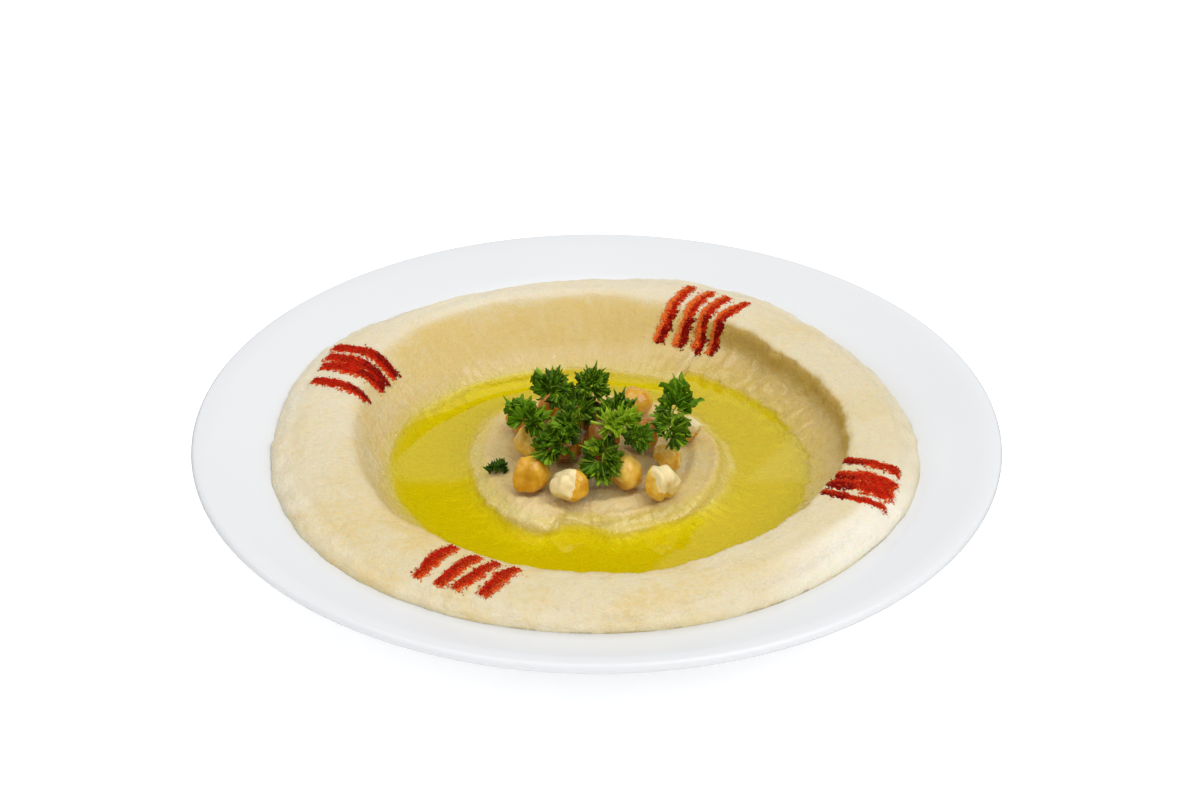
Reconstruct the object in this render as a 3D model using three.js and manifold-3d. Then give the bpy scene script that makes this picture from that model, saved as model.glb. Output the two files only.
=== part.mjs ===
// A plate of hummus: a shallow white plate holds a ring of hummus with a moat of olive oil.
// An island in the moat carries chickpeas and curly parsley, and four groups of four paprika
// stripes lie across the ring.
//
// Millimetres, +Z up. The origin is the middle of the plate's foot, on the table.
// Angles are in degrees, counter-clockwise seen from above, 0 along +X. -Y is the front.

import * as THREE from "three";
import { mergeVertices } from "three/addons/utils/BufferGeometryUtils.js";
import Module from "manifold-3d";

const wasm = await Module();
wasm.setup();

// ---- Driving dimensions ----

const GAP = 0.3;              // clear space between pieces that touch
const SHORE_GAP = 1.6 * GAP;  // the same, measured level, where the oil meets a slope

// Plate
const PLATE_RADIUS = 120;
const PLATE_HEIGHT = 28;
const PLATE_WALL = 3.2;       // thickness of the pottery
const WELL_RADIUS = 97;       // where the well ends and the flat rim begins
const WELL_EDGE_HEIGHT = 22;
const FLOOR_RADIUS = 64;      // the level floor of the well
const FLOOR_HEIGHT = 5.5;
const WELL_BEND = 1.6;        // how the well's wall steepens outwards
const WELL_FACETS = 4;
const FOOT_RADIUS = 60;       // middle of the foot ring
const FOOT_WIDTH = 4;
const FOOT_SLOPE = 2;         // spread of each side of the foot ring
const PLATE_SIDES = 52;
const LIP_ARC = [90, 45, 0, -45, -90];

// Hummus ring
const RING_TOP = 28;          // highest part of the ring
const OIL_LEVEL = 14;
const MOAT_DEPTH = 3.5;
const COLUMN_STEP = 6;        // degrees between two profiles
const SEAM = 62.5;            // where the spoon's sweep ended in a torn step
const SEAM_WIDTH = 1;
const SEAM_STEP = 7.5;        // how far the wall jumps outwards behind the step
const SEAM_FADE = 75;         // degrees over which that jump dies away
const LUMP = 0.5;             // unevenness of the ring's edges
const UNDERCUT = 0.6;         // how far the ring's side hangs over its base
const SIDE = [[0, 0], [0.7, 1.3], [3, 2.9]];            // the ring's side: how far in, how far up
const CROWN = [[0.32, 1.1], [0.55, 0.2], [0.8, 0]];     // its top: share of the way in, drop from the top
// Bends of the inner wall: share of the way from crest to shore where the spoon swept it,
// how far inside the crest where it broke off steeply, and the height of each
const BROW = { swept: -0.05, steep: -0.6, sweptHeight: 27, steepHeight: 27.4 };
const SHOULDER = { swept: 0.22, steep: 0.2, sweptHeight: 24.2, steepHeight: 25 };
const WAIST = { swept: 0.62, steep: 1, sweptHeight: 19, steepHeight: 19 };
const WALL_BANK = [[2.4, 2], [6, MOAT_DEPTH]];          // under the oil: distance from shore, depth
const ISLAND_BANK = [[7, MOAT_DEPTH], [3.5, 2.2]];
const ISLAND_SHOULDER = [2.2, 1];                       // inside the island's edge, below its top

// Radius against angle of the hummus's outlines
const OUTER_EDGE = around({ 0: 95.5, 30: 95.2, 65: 98.4, 109: 95.2, 147: 99.4, 173: 97,
  223: 98.2, 282: 96, 316: 95, 338: 97 });
const CREST = around({ 0: 74, 45: 72.4, 75: 75.5, 100: 79, 135: 79.2, 180: 72.6, 225: 72.8,
  270: 75, 315: 73 });
const SWEPT_SHORE = around({ 60: 53.7, 107: 55.6, 135: 59.2, 157: 62.4, 200: 62, 260: 61.5,
  300: 61.5, 340: 62.6 });
const STEEPNESS = around({ 0: 1, 55: 0.9, 80: 0.1, 130: 0, 190: 0.15, 240: 0.5, 290: 0.8 });
const ISLAND_EDGE = around({ 0: 40, 40: 40, 90: 41, 140: 42, 166: 38.8, 200: 36.5, 234: 39.4, 246: 38.6,
  255: 33, 268: 31.9, 280: 35.8, 300: 35.7, 321: 38.1, 342: 39.7 });

// Island
const ISLAND_HEIGHT = 16.6;
const ISLAND_SWELL = 1.3;     // how much higher its middle is than its edge
const SWIRL_PITCH = 6;        // between two ridges of the spoon's swirl
const SWIRL_DEPTH = 0.55;
const SWIRL_RINGS = [0.88, 0.81, 0.74, 0.66, 0.58, 0.48, 0.28];

// Paprika
const STRIPE_RELIEF = 0.7;    // above the hummus
const STRIPE_ROOT = 2.5;      // sunk into the hummus
const STRIPE_STATIONS = 4;
const STRIPE_TAPER = 0.4;     // share of the width lost at the ends
const STRIPE_SHOULDER = 0.38; // half the width of its top, as a share of its width
const STRIPE_WANDER = 0.25;
// Four groups of four: radius of the outer and inner ends of the first and last stripe, each
// stripe's bearing at its outer and inner end, and its greatest width
const STRIPE_GROUPS = [
  {
    outer: [89.3, 88.1],
    inner: [66, 69],
    bearings: [[70, 73], [65.6, 67.7], [61.6, 63], [57.2, 59.2]],
    widths: [5, 5.2, 4.8, 4.2],
  },
  {
    outer: [94.2, 90.2],
    inner: [72.5, 71.9],
    bearings: [[149.7, 149.2], [153.6, 154.3], [157.1, 156.5], [162.8, 165.3]],
    widths: [4.8, 5.2, 5.2, 4.2],
  },
  {
    outer: [91.3, 91],
    inner: [75.2, 77.9],
    bearings: [[236.9, 237.7], [241.5, 244.1], [244.8, 249.1], [249.9, 253.4]],
    widths: [4.8, 4.8, 4.4, 4.8],
  },
  {
    outer: [91.3, 92.5],
    inner: [74.9, 74.4],
    bearings: [[344.8, 345.3], [340.2, 338.9], [337.5, 335.1], [333.4, 330.9]],
    widths: [3.6, 5.2, 5.2, 2.6],
  },
];

// Chickpeas and parsley
const PEA_RADIUS = 5.2;
const PEA_FLATNESS = 0.94;
const BEAK = 0.28;            // how far the beak stands out, as a share of the radius
const BEAK_SHARPNESS = 9;
const GROOVE_WIDTH = 0.22;
const PEA_DETAIL = 2;
const LEAF_THICKNESS = 0.5;
const LEAF_LOBES = 7;
const LOBE_POINTS = 4;
const LOBE_DEPTH = 0.45;
const LEAF_HEEL = 0.3;        // reach behind the leaf's base, as a share of its size
const LEAF_WAVES = 3;
const LEAF_RINGS = [0.5, 1];
const STEM_RADIUS = 0.6;
const STEM_SIDES = 5;
const STEM_OVERLAP = 1;
const DROP_HEIGHT = 60;       // from where the garnish is lowered on to what carries it
const DROP_STEP = 0.25;

// ---- Small helpers ----

const radians = (degrees) => (degrees * Math.PI) / 180;
const mix = (from, to, share) => from + (to - from) * share;
const turned = (degrees) => ((degrees % 360) + 360) % 360;

/** A smooth closed curve of radius against angle through a few { degrees: radius } points. */
function around(points) {
  const keys = Object.keys(points).map(Number).sort((a, b) => a - b);
  const count = keys.length;
  const keyAt = (i) => keys[((i % count) + count) % count] + 360 * Math.floor(i / count);
  const valueAt = (i) => points[keys[((i % count) + count) % count]];
  return (degrees) => {
    const angle = turned(degrees - keys[0]) + keys[0];
    let i = 0;
    while (keyAt(i + 1) <= angle) i += 1;
    const span = keyAt(i + 1) - keyAt(i);
    const t = (angle - keyAt(i)) / span;
    const slopeIn = ((valueAt(i + 1) - valueAt(i - 1)) / (keyAt(i + 1) - keyAt(i - 1))) * span;
    const slopeOut = ((valueAt(i + 2) - valueAt(i)) / (keyAt(i + 2) - keyAt(i))) * span;
    return (2 * t ** 3 - 3 * t ** 2 + 1) * valueAt(i) + (t ** 3 - 2 * t ** 2 + t) * slopeIn
      + (3 * t ** 2 - 2 * t ** 3) * valueAt(i + 1) + (t ** 3 - t ** 2) * slopeOut;
  };
}

/** Gentle unevenness along an edge, the same every time. */
function lumps(degrees, phase) {
  const a = radians(degrees);
  const broad = Math.sin(5 * a + phase) + 0.7 * Math.sin(11 * a + 2 * phase);
  return LUMP * (broad + 0.5 * Math.sin(17 * a + 3 * phase));
}

/** A closed body from a loop of [radius, height] points at each angle. A radius of 0 is one shared point. */
function sweptBody(angles, loopAt) {
  const positions = [];
  const index = [];
  const loops = angles.map(loopAt);
  const rows = loops[0].length;
  loops.forEach((loop, column) => {
    const a = radians(angles[column]);
    loop.forEach(([r, z]) => positions.push(r * Math.cos(a), r * Math.sin(a), z));
  });
  for (let column = 0; column < angles.length; column += 1) {
    const next = (column + 1) % angles.length;
    for (let row = 0; row < rows; row += 1) {
      const below = (row + 1) % rows;
      const a = column * rows + row;
      const b = next * rows + row;
      const c = next * rows + below;
      const d = column * rows + below;
      if (loops[0][row][0] > 0) index.push(a, b, c);
      if (loops[0][below][0] > 0) index.push(a, c, d);
    }
  }
  const geometry = new THREE.BufferGeometry();
  geometry.setAttribute("position", new THREE.Float32BufferAttribute(positions, 3));
  geometry.setIndex(index);
  return geometry;
}

/** A geometry as a manifold solid. */
function solidOf(geometry) {
  const bare = geometry.clone();
  bare.deleteAttribute("normal");
  bare.deleteAttribute("uv");
  const merged = mergeVertices(bare, 1e-4);
  const triangles = Array.from(merged.index.array);
  const whole = [];
  for (let i = 0; i < triangles.length; i += 3) {
    const [a, b, c] = triangles.slice(i, i + 3);
    if (a !== b && b !== c && c !== a) whole.push(a, b, c);
  }
  const mesh = new wasm.Mesh({
    numProp: 3,
    vertProperties: new Float32Array(merged.attributes.position.array),
    triVerts: new Uint32Array(whole),
  });
  return new wasm.Manifold(mesh);
}

/** A manifold solid as a geometry. */
function geometryOf(solid) {
  const mesh = solid.getMesh();
  const geometry = new THREE.BufferGeometry();
  geometry.setAttribute("position", new THREE.Float32BufferAttribute(mesh.vertProperties, 3));
  geometry.setIndex(Array.from(mesh.triVerts));
  geometry.computeVertexNormals();
  return geometry;
}

const food = new THREE.Group();

/** Adds one named piece with its own material. */
function add(name, geometry, colour, roughness) {
  const material = new THREE.MeshStandardMaterial({ color: colour, roughness, metalness: 0 });
  const mesh = new THREE.Mesh(geometry, material);
  mesh.name = name;
  food.add(mesh);
  return mesh;
}

// ---- Plate ----

const WELL_STEPS = [];
for (let i = 0; i <= WELL_FACETS; i += 1) WELL_STEPS.push(mix(FLOOR_RADIUS, WELL_RADIUS, i / WELL_FACETS));

/** Height of the plate's upper face at a radius: a level floor, a curved wall in facets, and a rim. */
function plateTop(r) {
  if (r <= FLOOR_RADIUS) return FLOOR_HEIGHT;
  if (r >= WELL_RADIUS) {
    const outwards = (r - WELL_RADIUS) / (PLATE_RADIUS - PLATE_WALL / 2 - WELL_RADIUS);
    return mix(WELL_EDGE_HEIGHT, PLATE_HEIGHT, outwards);
  }
  const place = ((r - FLOOR_RADIUS) / (WELL_RADIUS - FLOOR_RADIUS)) * WELL_FACETS;
  const facet = Math.floor(place);
  const riseAt = (i) => (i / WELL_FACETS) ** WELL_BEND;
  return mix(FLOOR_HEIGHT, WELL_EDGE_HEIGHT, mix(riseAt(facet), riseAt(facet + 1), place - facet));
}

function plate() {
  const lip = PLATE_WALL / 2;
  const upper = [0, ...WELL_STEPS].map((r) => [r, plateTop(r)]);
  const rolled = LIP_ARC.map((degrees) => [
    PLATE_RADIUS - lip + lip * Math.cos(radians(degrees)),
    PLATE_HEIGHT - lip + lip * Math.sin(radians(degrees)),
  ]);
  const lower = WELL_STEPS.slice(1).reverse().map((r) => {
    const slope = Math.atan(plateTop(r) - plateTop(r - 1));
    return [r + PLATE_WALL * Math.sin(slope), plateTop(r) - PLATE_WALL * Math.cos(slope)];
  });
  const under = FLOOR_HEIGHT - PLATE_WALL;
  const foot = [
    [FOOT_RADIUS + FOOT_WIDTH / 2 + FOOT_SLOPE, under],
    [FOOT_RADIUS + FOOT_WIDTH / 2, 0],
    [FOOT_RADIUS - FOOT_WIDTH / 2, 0],
    [FOOT_RADIUS - FOOT_WIDTH / 2 - FOOT_SLOPE, under],
    [0, under],
  ];
  const outline = [...upper, ...rolled, ...lower, ...foot].reverse();
  const geometry = new THREE.LatheGeometry(outline.map(([r, z]) => new THREE.Vector2(r, z)), PLATE_SIDES);
  geometry.rotateX(Math.PI / 2);
  return geometryOf(solidOf(geometry));
}

// ---- Hummus and oil ----

/** How much of the torn step shows at an angle: 1 just behind the seam, fading away from it. */
function tear(degrees) {
  const behind = turned(SEAM - degrees);
  return behind > 180 ? 0 : Math.exp(-((behind / SEAM_FADE) ** 2));
}

/** Height of the island's top at a share of its radius: a low dome with the spoon's spiral ridges. */
function islandTop(degrees, share) {
  const r = share * ISLAND_EDGE(degrees);
  const ridge = Math.cos((2 * Math.PI * r) / SWIRL_PITCH + radians(degrees));
  const flat = Math.min(1, share * 2);
  return ISLAND_HEIGHT + ISLAND_SWELL * (1 - share ** 2) + SWIRL_DEPTH * ridge * flat;
}

// Places of the oil's two shores in the list of points below
const WALL_SHORE = SIDE.length + CROWN.length + 3;
const ISLAND_SHORE = WALL_SHORE + WALL_BANK.length + ISLAND_BANK.length + 1;

/** The hummus's face at one angle, from its outer edge over the ring and the moat to the middle. */
function hummusFace(degrees) {
  const edge = OUTER_EDGE(degrees) + 0.3 * lumps(degrees, 1);
  const crest = CREST(degrees) + lumps(degrees, 2);
  const shore = SWEPT_SHORE(degrees) + SEAM_STEP * tear(degrees) + 0.6 * lumps(degrees, 4);
  const island = ISLAND_EDGE(degrees) + 0.6 * lumps(degrees, 3);
  const steepness = STEEPNESS(degrees);
  const foot = plateTop(edge) + GAP;
  const bend = ({ swept, steep, sweptHeight, steepHeight }) => [
    mix(mix(crest, shore, swept), crest - steep, steepness),
    mix(sweptHeight, steepHeight, steepness),
  ];
  return [
    ...SIDE.map(([inwards, up]) => [edge - inwards, foot + up]),
    ...CROWN.map(([share, drop]) => [mix(edge, crest, share), RING_TOP - drop]),
    bend(BROW),
    bend(SHOULDER),
    bend(WAIST),
    [shore, OIL_LEVEL],
    ...WALL_BANK.map(([inwards, depth]) => [shore - inwards, OIL_LEVEL - depth]),
    ...ISLAND_BANK.map(([outwards, depth]) => [island + outwards, OIL_LEVEL - depth]),
    [island, OIL_LEVEL],
    [island - ISLAND_SHOULDER[0], ISLAND_HEIGHT - ISLAND_SHOULDER[1]],
    ...SWIRL_RINGS.map((share) => [share * island, islandTop(degrees, share)]),
    [0, ISLAND_HEIGHT + ISLAND_SWELL],
  ];
}

/** The underside of the hummus, a gap above the plate, from the middle outwards. */
function hummusBase(degrees) {
  const edge = hummusFace(degrees)[0][0];
  const steps = WELL_STEPS.slice(0, -1);
  const last = edge - UNDERCUT;
  return [0, ...steps, Math.min(last - UNDERCUT, WELL_RADIUS), last].map((r) => [r, plateTop(r) + GAP]);
}

const COLUMNS = [];
for (let degrees = 0; degrees < 360; degrees += COLUMN_STEP) COLUMNS.push(degrees);
COLUMNS.push(SEAM - SEAM_WIDTH / 2, SEAM + SEAM_WIDTH / 2);
COLUMNS.sort((a, b) => a - b);

/** Height of the hummus under a point seen from above. */
function hummusHeight(x, y) {
  const r = Math.hypot(x, y);
  const face = hummusFace((Math.atan2(y, x) * 180) / Math.PI);
  for (let i = 1; i < face.length; i += 1) {
    const [outer, outerZ] = face[i - 1];
    const [inner, innerZ] = face[i];
    if (r <= outer && r >= inner && outer > inner) return mix(outerZ, innerZ, (outer - r) / (outer - inner));
  }
  return plateTop(r);
}

/** One paprika stripe, laid over the hummus from one [x, y] to another and tapered to its ends. */
function stripe([fromX, fromY], [toX, toY], width) {
  const length = Math.hypot(toX - fromX, toY - fromY);
  const acrossX = -(toY - fromY) / length;
  const acrossY = (toX - fromX) / length;
  const sides = [
    [-0.5, -STRIPE_ROOT],
    [-STRIPE_SHOULDER, STRIPE_RELIEF],
    [STRIPE_SHOULDER, STRIPE_RELIEF],
    [0.5, -STRIPE_ROOT],
  ];
  const positions = [];
  for (let station = 0; station <= STRIPE_STATIONS; station += 1) {
    const t = station / STRIPE_STATIONS;
    const wander = STRIPE_WANDER * Math.sin(7 * t + fromX);
    const breadth = width * (1 - STRIPE_TAPER * (1 - Math.sin(Math.PI * mix(0.12, 0.88, t))));
    sides.forEach(([across, up]) => {
      const x = mix(fromX, toX, t) + acrossX * (across * breadth + wander);
      const y = mix(fromY, toY, t) + acrossY * (across * breadth + wander);
      positions.push(x, y, hummusHeight(x, y) + up);
    });
  }
  const index = [];
  const n = sides.length;
  for (let station = 0; station < STRIPE_STATIONS; station += 1) {
    for (let side = 0; side < n; side += 1) {
      const a = station * n + side;
      const b = station * n + ((side + 1) % n);
      index.push(a, b + n, b, a, a + n, b + n);
    }
  }
  const last = STRIPE_STATIONS * n;
  for (let side = 1; side < n - 1; side += 1) {
    index.push(0, side, side + 1);
    index.push(last, last + side + 1, last + side);
  }
  const geometry = new THREE.BufferGeometry();
  geometry.setAttribute("position", new THREE.Float32BufferAttribute(positions, 3));
  geometry.setIndex(index);
  return solidOf(geometry);
}

/** The point at a bearing and a radius, seen from above. */
function pointAt(degrees, radius) {
  return [radius * Math.cos(radians(degrees)), radius * Math.sin(radians(degrees))];
}

function hummus() {
  const loopAt = (degrees) => [...hummusFace(degrees), ...hummusBase(degrees)];
  let whole = solidOf(sweptBody(COLUMNS, loopAt));
  STRIPE_GROUPS.forEach(({ outer, inner, bearings, widths }) => {
    bearings.forEach(([outerBearing, innerBearing], i) => {
      const share = i / (bearings.length - 1);
      const from = pointAt(outerBearing, mix(outer[0], outer[1], share));
      const to = pointAt(innerBearing, mix(inner[0], inner[1], share));
      whole = whole.add(stripe(from, to, widths[i]));
    });
  });
  return geometryOf(whole);
}

/** The moat of oil, level on top, its bed and shores a gap inside the hummus. */
function oil() {
  const loopAt = (degrees) => {
    const bed = hummusFace(degrees).slice(WALL_SHORE, ISLAND_SHORE + 1);
    const last = bed.length - 1;
    const lifted = bed.map(([r, z], i) => {
      if (i === 0) return [r - SHORE_GAP, OIL_LEVEL];
      if (i === last) return [r + SHORE_GAP, OIL_LEVEL];
      const inward = i === 1 ? GAP : 0;
      const outward = i === last - 1 ? GAP : 0;
      return [r - inward + outward, z + GAP];
    });
    return lifted.reverse();
  };
  return geometryOf(solidOf(sweptBody(COLUMNS, loopAt)));
}

// ---- Chickpeas ----

/** A chickpea round the origin: its beak at +X, with a groove from the beak over the top. */
function chickpea({ size, cleft }, grow) {
  const geometry = mergedSphere();
  const place = geometry.attributes.position;
  const v = new THREE.Vector3();
  for (let i = 0; i < place.count; i += 1) {
    v.fromBufferAttribute(place, i);
    const beak = BEAK * Math.max(0, v.x) ** BEAK_SHARPNESS;
    const groove = cleft * Math.exp(-((v.y / GROOVE_WIDTH) ** 2)) * Math.max(0, 0.4 + 0.6 * v.x);
    v.multiplyScalar(PEA_RADIUS * size * (1 + beak - groove) + grow);
    place.setXYZ(i, v.x, v.y, v.z * PEA_FLATNESS);
  }
  return geometry;
}

/** A ball of radius 1 with shared corners. */
function mergedSphere() {
  const ball = new THREE.IcosahedronGeometry(1, PEA_DETAIL);
  ball.deleteAttribute("normal");
  ball.deleteAttribute("uv");
  return mergeVertices(ball, 1e-4);
}

const CHICKPEAS = [
  { at: [-19.3, -18.6], turn: 250, tip: -30, size: 1.1, cleft: 0.12 },
  { at: [-7.7, -25], turn: 160, tip: 20, size: 1.06, cleft: 0.3 },
  { at: [8.3, -17.2], turn: 60, tip: 40, size: 1.1, cleft: 0.05 },
  { at: [18.9, -23.4], turn: 300, tip: 30, size: 1.14, cleft: 0.3 },
  { at: [-19.8, -0.6], turn: 200, tip: 0, size: 0.98, cleft: 0.1 },
  { at: [-22.5, 12.1], turn: 110, tip: 30, size: 1.04, cleft: 0.1 },
  { at: [-10.3, 8], turn: 20, tip: 50, size: 1, cleft: 0.1 },
  { at: [11.7, 21.5], turn: 70, tip: 20, size: 1, cleft: 0.12 },
  { at: [27.3, 8.7], turn: 330, tip: 10, size: 0.82, cleft: 0.3 },
  { at: [21.1, -8.8], turn: 140, tip: 0, size: 0.84, cleft: 0.1 },
  { at: [14.2, 2.5], turn: 10, tip: 20, size: 0.98, cleft: 0.08 },
  { at: [-9.5, -5], turn: 280, tip: 10, size: 1.02, cleft: 0.1 },
  { at: [-13.2, 19.8], turn: 90, tip: 0, size: 0.98, cleft: 0.1 },
  { at: [1.4, -1], turn: 150, tip: 60, size: 1.06, cleft: 0.1 },
  { at: [-1.2, 14], turn: 40, tip: 10, size: 1, cleft: 0.12 },
];

// ---- Parsley ----

/** Distance from a leaf's base to its edge, in the direction of an angle, for a leaf of size 1. */
function leafReach(degrees) {
  const towardTip = Math.cos(radians(degrees) / 2) ** 2;
  const lobe = Math.cos((radians(degrees) * LEAF_LOBES) / 2) ** 2;
  return mix(LEAF_HEEL, 1, towardTip) * mix(1 - LOBE_DEPTH, 1, lobe);
}

/** A curly leaf: its base at the origin, its tip along +X, lobed all round, cupped and frilled. */
function leaf({ size, stem, frill = 0.15, cup = 0.12 }, grow) {
  const points = LEAF_LOBES * LOBE_POINTS;
  const positions = [];
  [1, -1].forEach((face) => {
    const half = face * (LEAF_THICKNESS / 2 + grow);
    positions.push(0, 0, half);
    LEAF_RINGS.forEach((ring) => {
      for (let i = 0; i < points; i += 1) {
        const degrees = (360 / points) * i;
        const share = ring * leafReach(degrees);
        const wave = Math.sin(radians(degrees) * LEAF_WAVES + size);
        const reach = share * size + ring * grow;
        const rise = size * share ** 2 * (cup + frill * wave);
        positions.push(reach * Math.cos(radians(degrees)), reach * Math.sin(radians(degrees)), rise + half);
      }
    });
  });
  const perFace = 1 + LEAF_RINGS.length * points;
  const index = [];
  const both = (a, b, c) => index.push(a, b, c, perFace + a, perFace + c, perFace + b);
  for (let i = 0; i < points; i += 1) {
    const next = (i + 1) % points;
    both(0, 1 + i, 1 + next);
    both(1 + i, 1 + points + i, 1 + points + next);
    both(1 + i, 1 + points + next, 1 + next);
    const edge = 1 + points + i;
    const edgeNext = 1 + points + next;
    index.push(edge, perFace + edge, perFace + edgeNext, edge, perFace + edgeNext, edgeNext);
  }
  const geometry = new THREE.BufferGeometry();
  geometry.setAttribute("position", new THREE.Float32BufferAttribute(positions, 3));
  geometry.setIndex(index);
  if (stem === 0) return geometry;
  const thickness = STEM_RADIUS + grow;
  const stalk = new THREE.CylinderGeometry(thickness, thickness, stem + 2 * grow, STEM_SIDES);
  stalk.rotateZ(Math.PI / 2);
  stalk.translate(STEM_OVERLAP - stem / 2, 0, 0);
  return geometryOf(solidOf(geometry).add(solidOf(stalk)));
}

const LEAVES = [
  { at: [-27.6, -7.4], heading: 200, pitch: -6, roll: 0, size: 5, stem: 0, cup: 0.1, frill: 0.1 },
  { at: [2, -17.2], heading: 262, pitch: -48, roll: 0, size: 11.5, stem: 0 },
  { at: [11, -13.3], heading: 300, pitch: -30, roll: 0, size: 8, stem: 0 },
  { at: [-9.5, -13], heading: 225, pitch: -30, roll: 0, size: 12, stem: 0 },
  { at: [-17, -3], heading: 160, pitch: 32, roll: 0, size: 12, stem: 6 },
  { at: [-5, 2], heading: 100, pitch: 8, roll: 0, size: 11, stem: 0 },
  { at: [3, -1], heading: 40, pitch: 12, roll: 0, size: 11.5, stem: 0 },
  { at: [21, -1.5], heading: 45, pitch: 45, roll: -10, size: 14, stem: 5 },
  { at: [22, -8], heading: 275, pitch: -35, roll: 0, size: 10, stem: 0 },
  { at: [-7, -10.5], heading: 195, pitch: -14, roll: 0, size: 9, stem: 0 },
  { at: [5, -11.5], heading: 20, pitch: 0, roll: 0, size: 11, stem: 6, cup: 0.2 },
  { at: [-11.3, 6.8], heading: 125, pitch: 24, roll: 0, size: 11, stem: 0 },
  { at: [-1.5, 6.6], heading: 85, pitch: 16, roll: 0, size: 9.5, stem: 0 },
];

// ---- The whole plate ----

/** Turns a piece: heading round +Z, then its own +X tipped up by pitch, then rolled about it. */
function turnPiece(piece, heading, pitch, roll) {
  piece.rotation.set(radians(roll), radians(-pitch), radians(heading), "ZYX");
}

/** A mesh's solid where the mesh stands. */
function standing(mesh) {
  mesh.updateMatrixWorld(true);
  return solidOf(mesh.geometry.clone().applyMatrix4(mesh.matrixWorld));
}

/** Lowers a piece on to the pile until the space it keeps clear would touch, and adds it to the pile. */
function rest(pile, mesh, grownGeometry) {
  const grown = new THREE.Mesh(grownGeometry);
  grown.position.copy(mesh.position);
  grown.rotation.copy(mesh.rotation);
  const ghost = standing(grown);
  let drop = 0;
  while (pile.intersect(ghost.translate([0, 0, -drop - DROP_STEP])).isEmpty()) drop += DROP_STEP;
  mesh.position.z -= drop;
  return pile.add(standing(mesh));
}

add("plate", plate(), 0xeceef1, 0.12);
const base = add("hummus", hummus(), 0xe3d2a8, 0.55);
const pool = add("oil", oil(), 0xcdbb14, 0.05);

let pile = standing(base).add(standing(pool));
CHICKPEAS.forEach((pea, i) => {
  const mesh = add(`chickpea_${i + 1}`, chickpea(pea, 0), 0xd8a04c, 0.4);
  mesh.position.set(...pea.at, DROP_HEIGHT);
  turnPiece(mesh, pea.turn, pea.tip, 0);
  pile = rest(pile, mesh, chickpea(pea, GAP));
});
LEAVES.forEach((spec, i) => {
  const mesh = add(`parsley_${i + 1}`, leaf(spec, 0), 0x3f7d1e, 0.5);
  mesh.position.set(...spec.at, DROP_HEIGHT);
  turnPiece(mesh, spec.heading, spec.pitch, spec.roll);
  pile = rest(pile, mesh, leaf(spec, GAP));
});

export default food;
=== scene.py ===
"""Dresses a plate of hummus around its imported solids.

Glazed pottery, spread hummus with paprika stripes, a moat of olive oil, chickpeas and curly
parsley. Sizes are in millimetres in the part's own frame and become metres when a mesh is set.
Bearings are degrees round the plate: 0 is its right, 90 its back and 270 its front.
"""

import logging
import math
from dataclasses import dataclass, field
from enum import Enum

import bpy
import numpy as np
from mathutils import Euler, Matrix, Vector


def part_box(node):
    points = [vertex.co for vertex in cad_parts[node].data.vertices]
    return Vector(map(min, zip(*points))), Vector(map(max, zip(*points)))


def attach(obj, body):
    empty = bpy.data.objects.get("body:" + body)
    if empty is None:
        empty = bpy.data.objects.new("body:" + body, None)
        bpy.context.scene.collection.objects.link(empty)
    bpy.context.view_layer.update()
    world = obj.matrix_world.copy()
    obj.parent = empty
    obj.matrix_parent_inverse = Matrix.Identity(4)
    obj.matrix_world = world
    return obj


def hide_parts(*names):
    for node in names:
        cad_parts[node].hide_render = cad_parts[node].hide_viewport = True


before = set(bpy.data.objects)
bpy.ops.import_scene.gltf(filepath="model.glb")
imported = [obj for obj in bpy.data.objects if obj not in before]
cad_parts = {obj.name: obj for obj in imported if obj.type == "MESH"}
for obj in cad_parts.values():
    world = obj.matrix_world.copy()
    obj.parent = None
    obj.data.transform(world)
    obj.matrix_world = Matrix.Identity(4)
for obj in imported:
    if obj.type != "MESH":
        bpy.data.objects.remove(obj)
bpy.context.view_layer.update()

MM = 0.001
TURN = 360.0
GOLDEN_ANGLE = 137.5
SEAM_WIDTH = 0.01
LOG = logging.getLogger("hummus")

Value = float | np.ndarray
Colour = tuple[float, float, float]
Socket = bpy.types.NodeSocket


# ---- Small arithmetic ----


def mix(low: Value, high: Value, share: Value) -> Value:
    """Returns the value a share of the way from low to high."""
    return low + (high - low) * share


def ease(low: float, high: float, value: Value) -> np.ndarray:
    """Returns 0 below low, 1 above high, and a smooth step between."""
    share = np.clip((np.asarray(value, float) - low) / (high - low), 0.0, 1.0)
    return share * share * (3.0 - 2.0 * share)


def band(low: float, high: float, soft: float, value: Value) -> np.ndarray:
    """Returns 1 between low and high, fading to 0 over soft outside them."""
    return ease(low - soft, low, value) * (1.0 - ease(high, high + soft, value))


def apart(degrees: Value, bearing: float) -> np.ndarray:
    """Returns how far angles are from a bearing, from -180 to 180."""
    return np.mod(np.asarray(degrees) - bearing + TURN / 2, TURN) - TURN / 2


def toward(degrees: Value, bearing: float, width: float, power: int = 2) -> np.ndarray:
    """Returns 1 at a bearing, fading to 0 about a width to each side of it."""
    return np.exp(-((apart(degrees, bearing) / width) ** power))


def on_circle(degrees: Value, radius: Value, height: Value) -> np.ndarray:
    """Returns places at a bearing, a distance from the plate's axis and a height."""
    turn = np.radians(degrees)
    return np.stack([radius * np.cos(turn), radius * np.sin(turn), height], -1)


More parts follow.
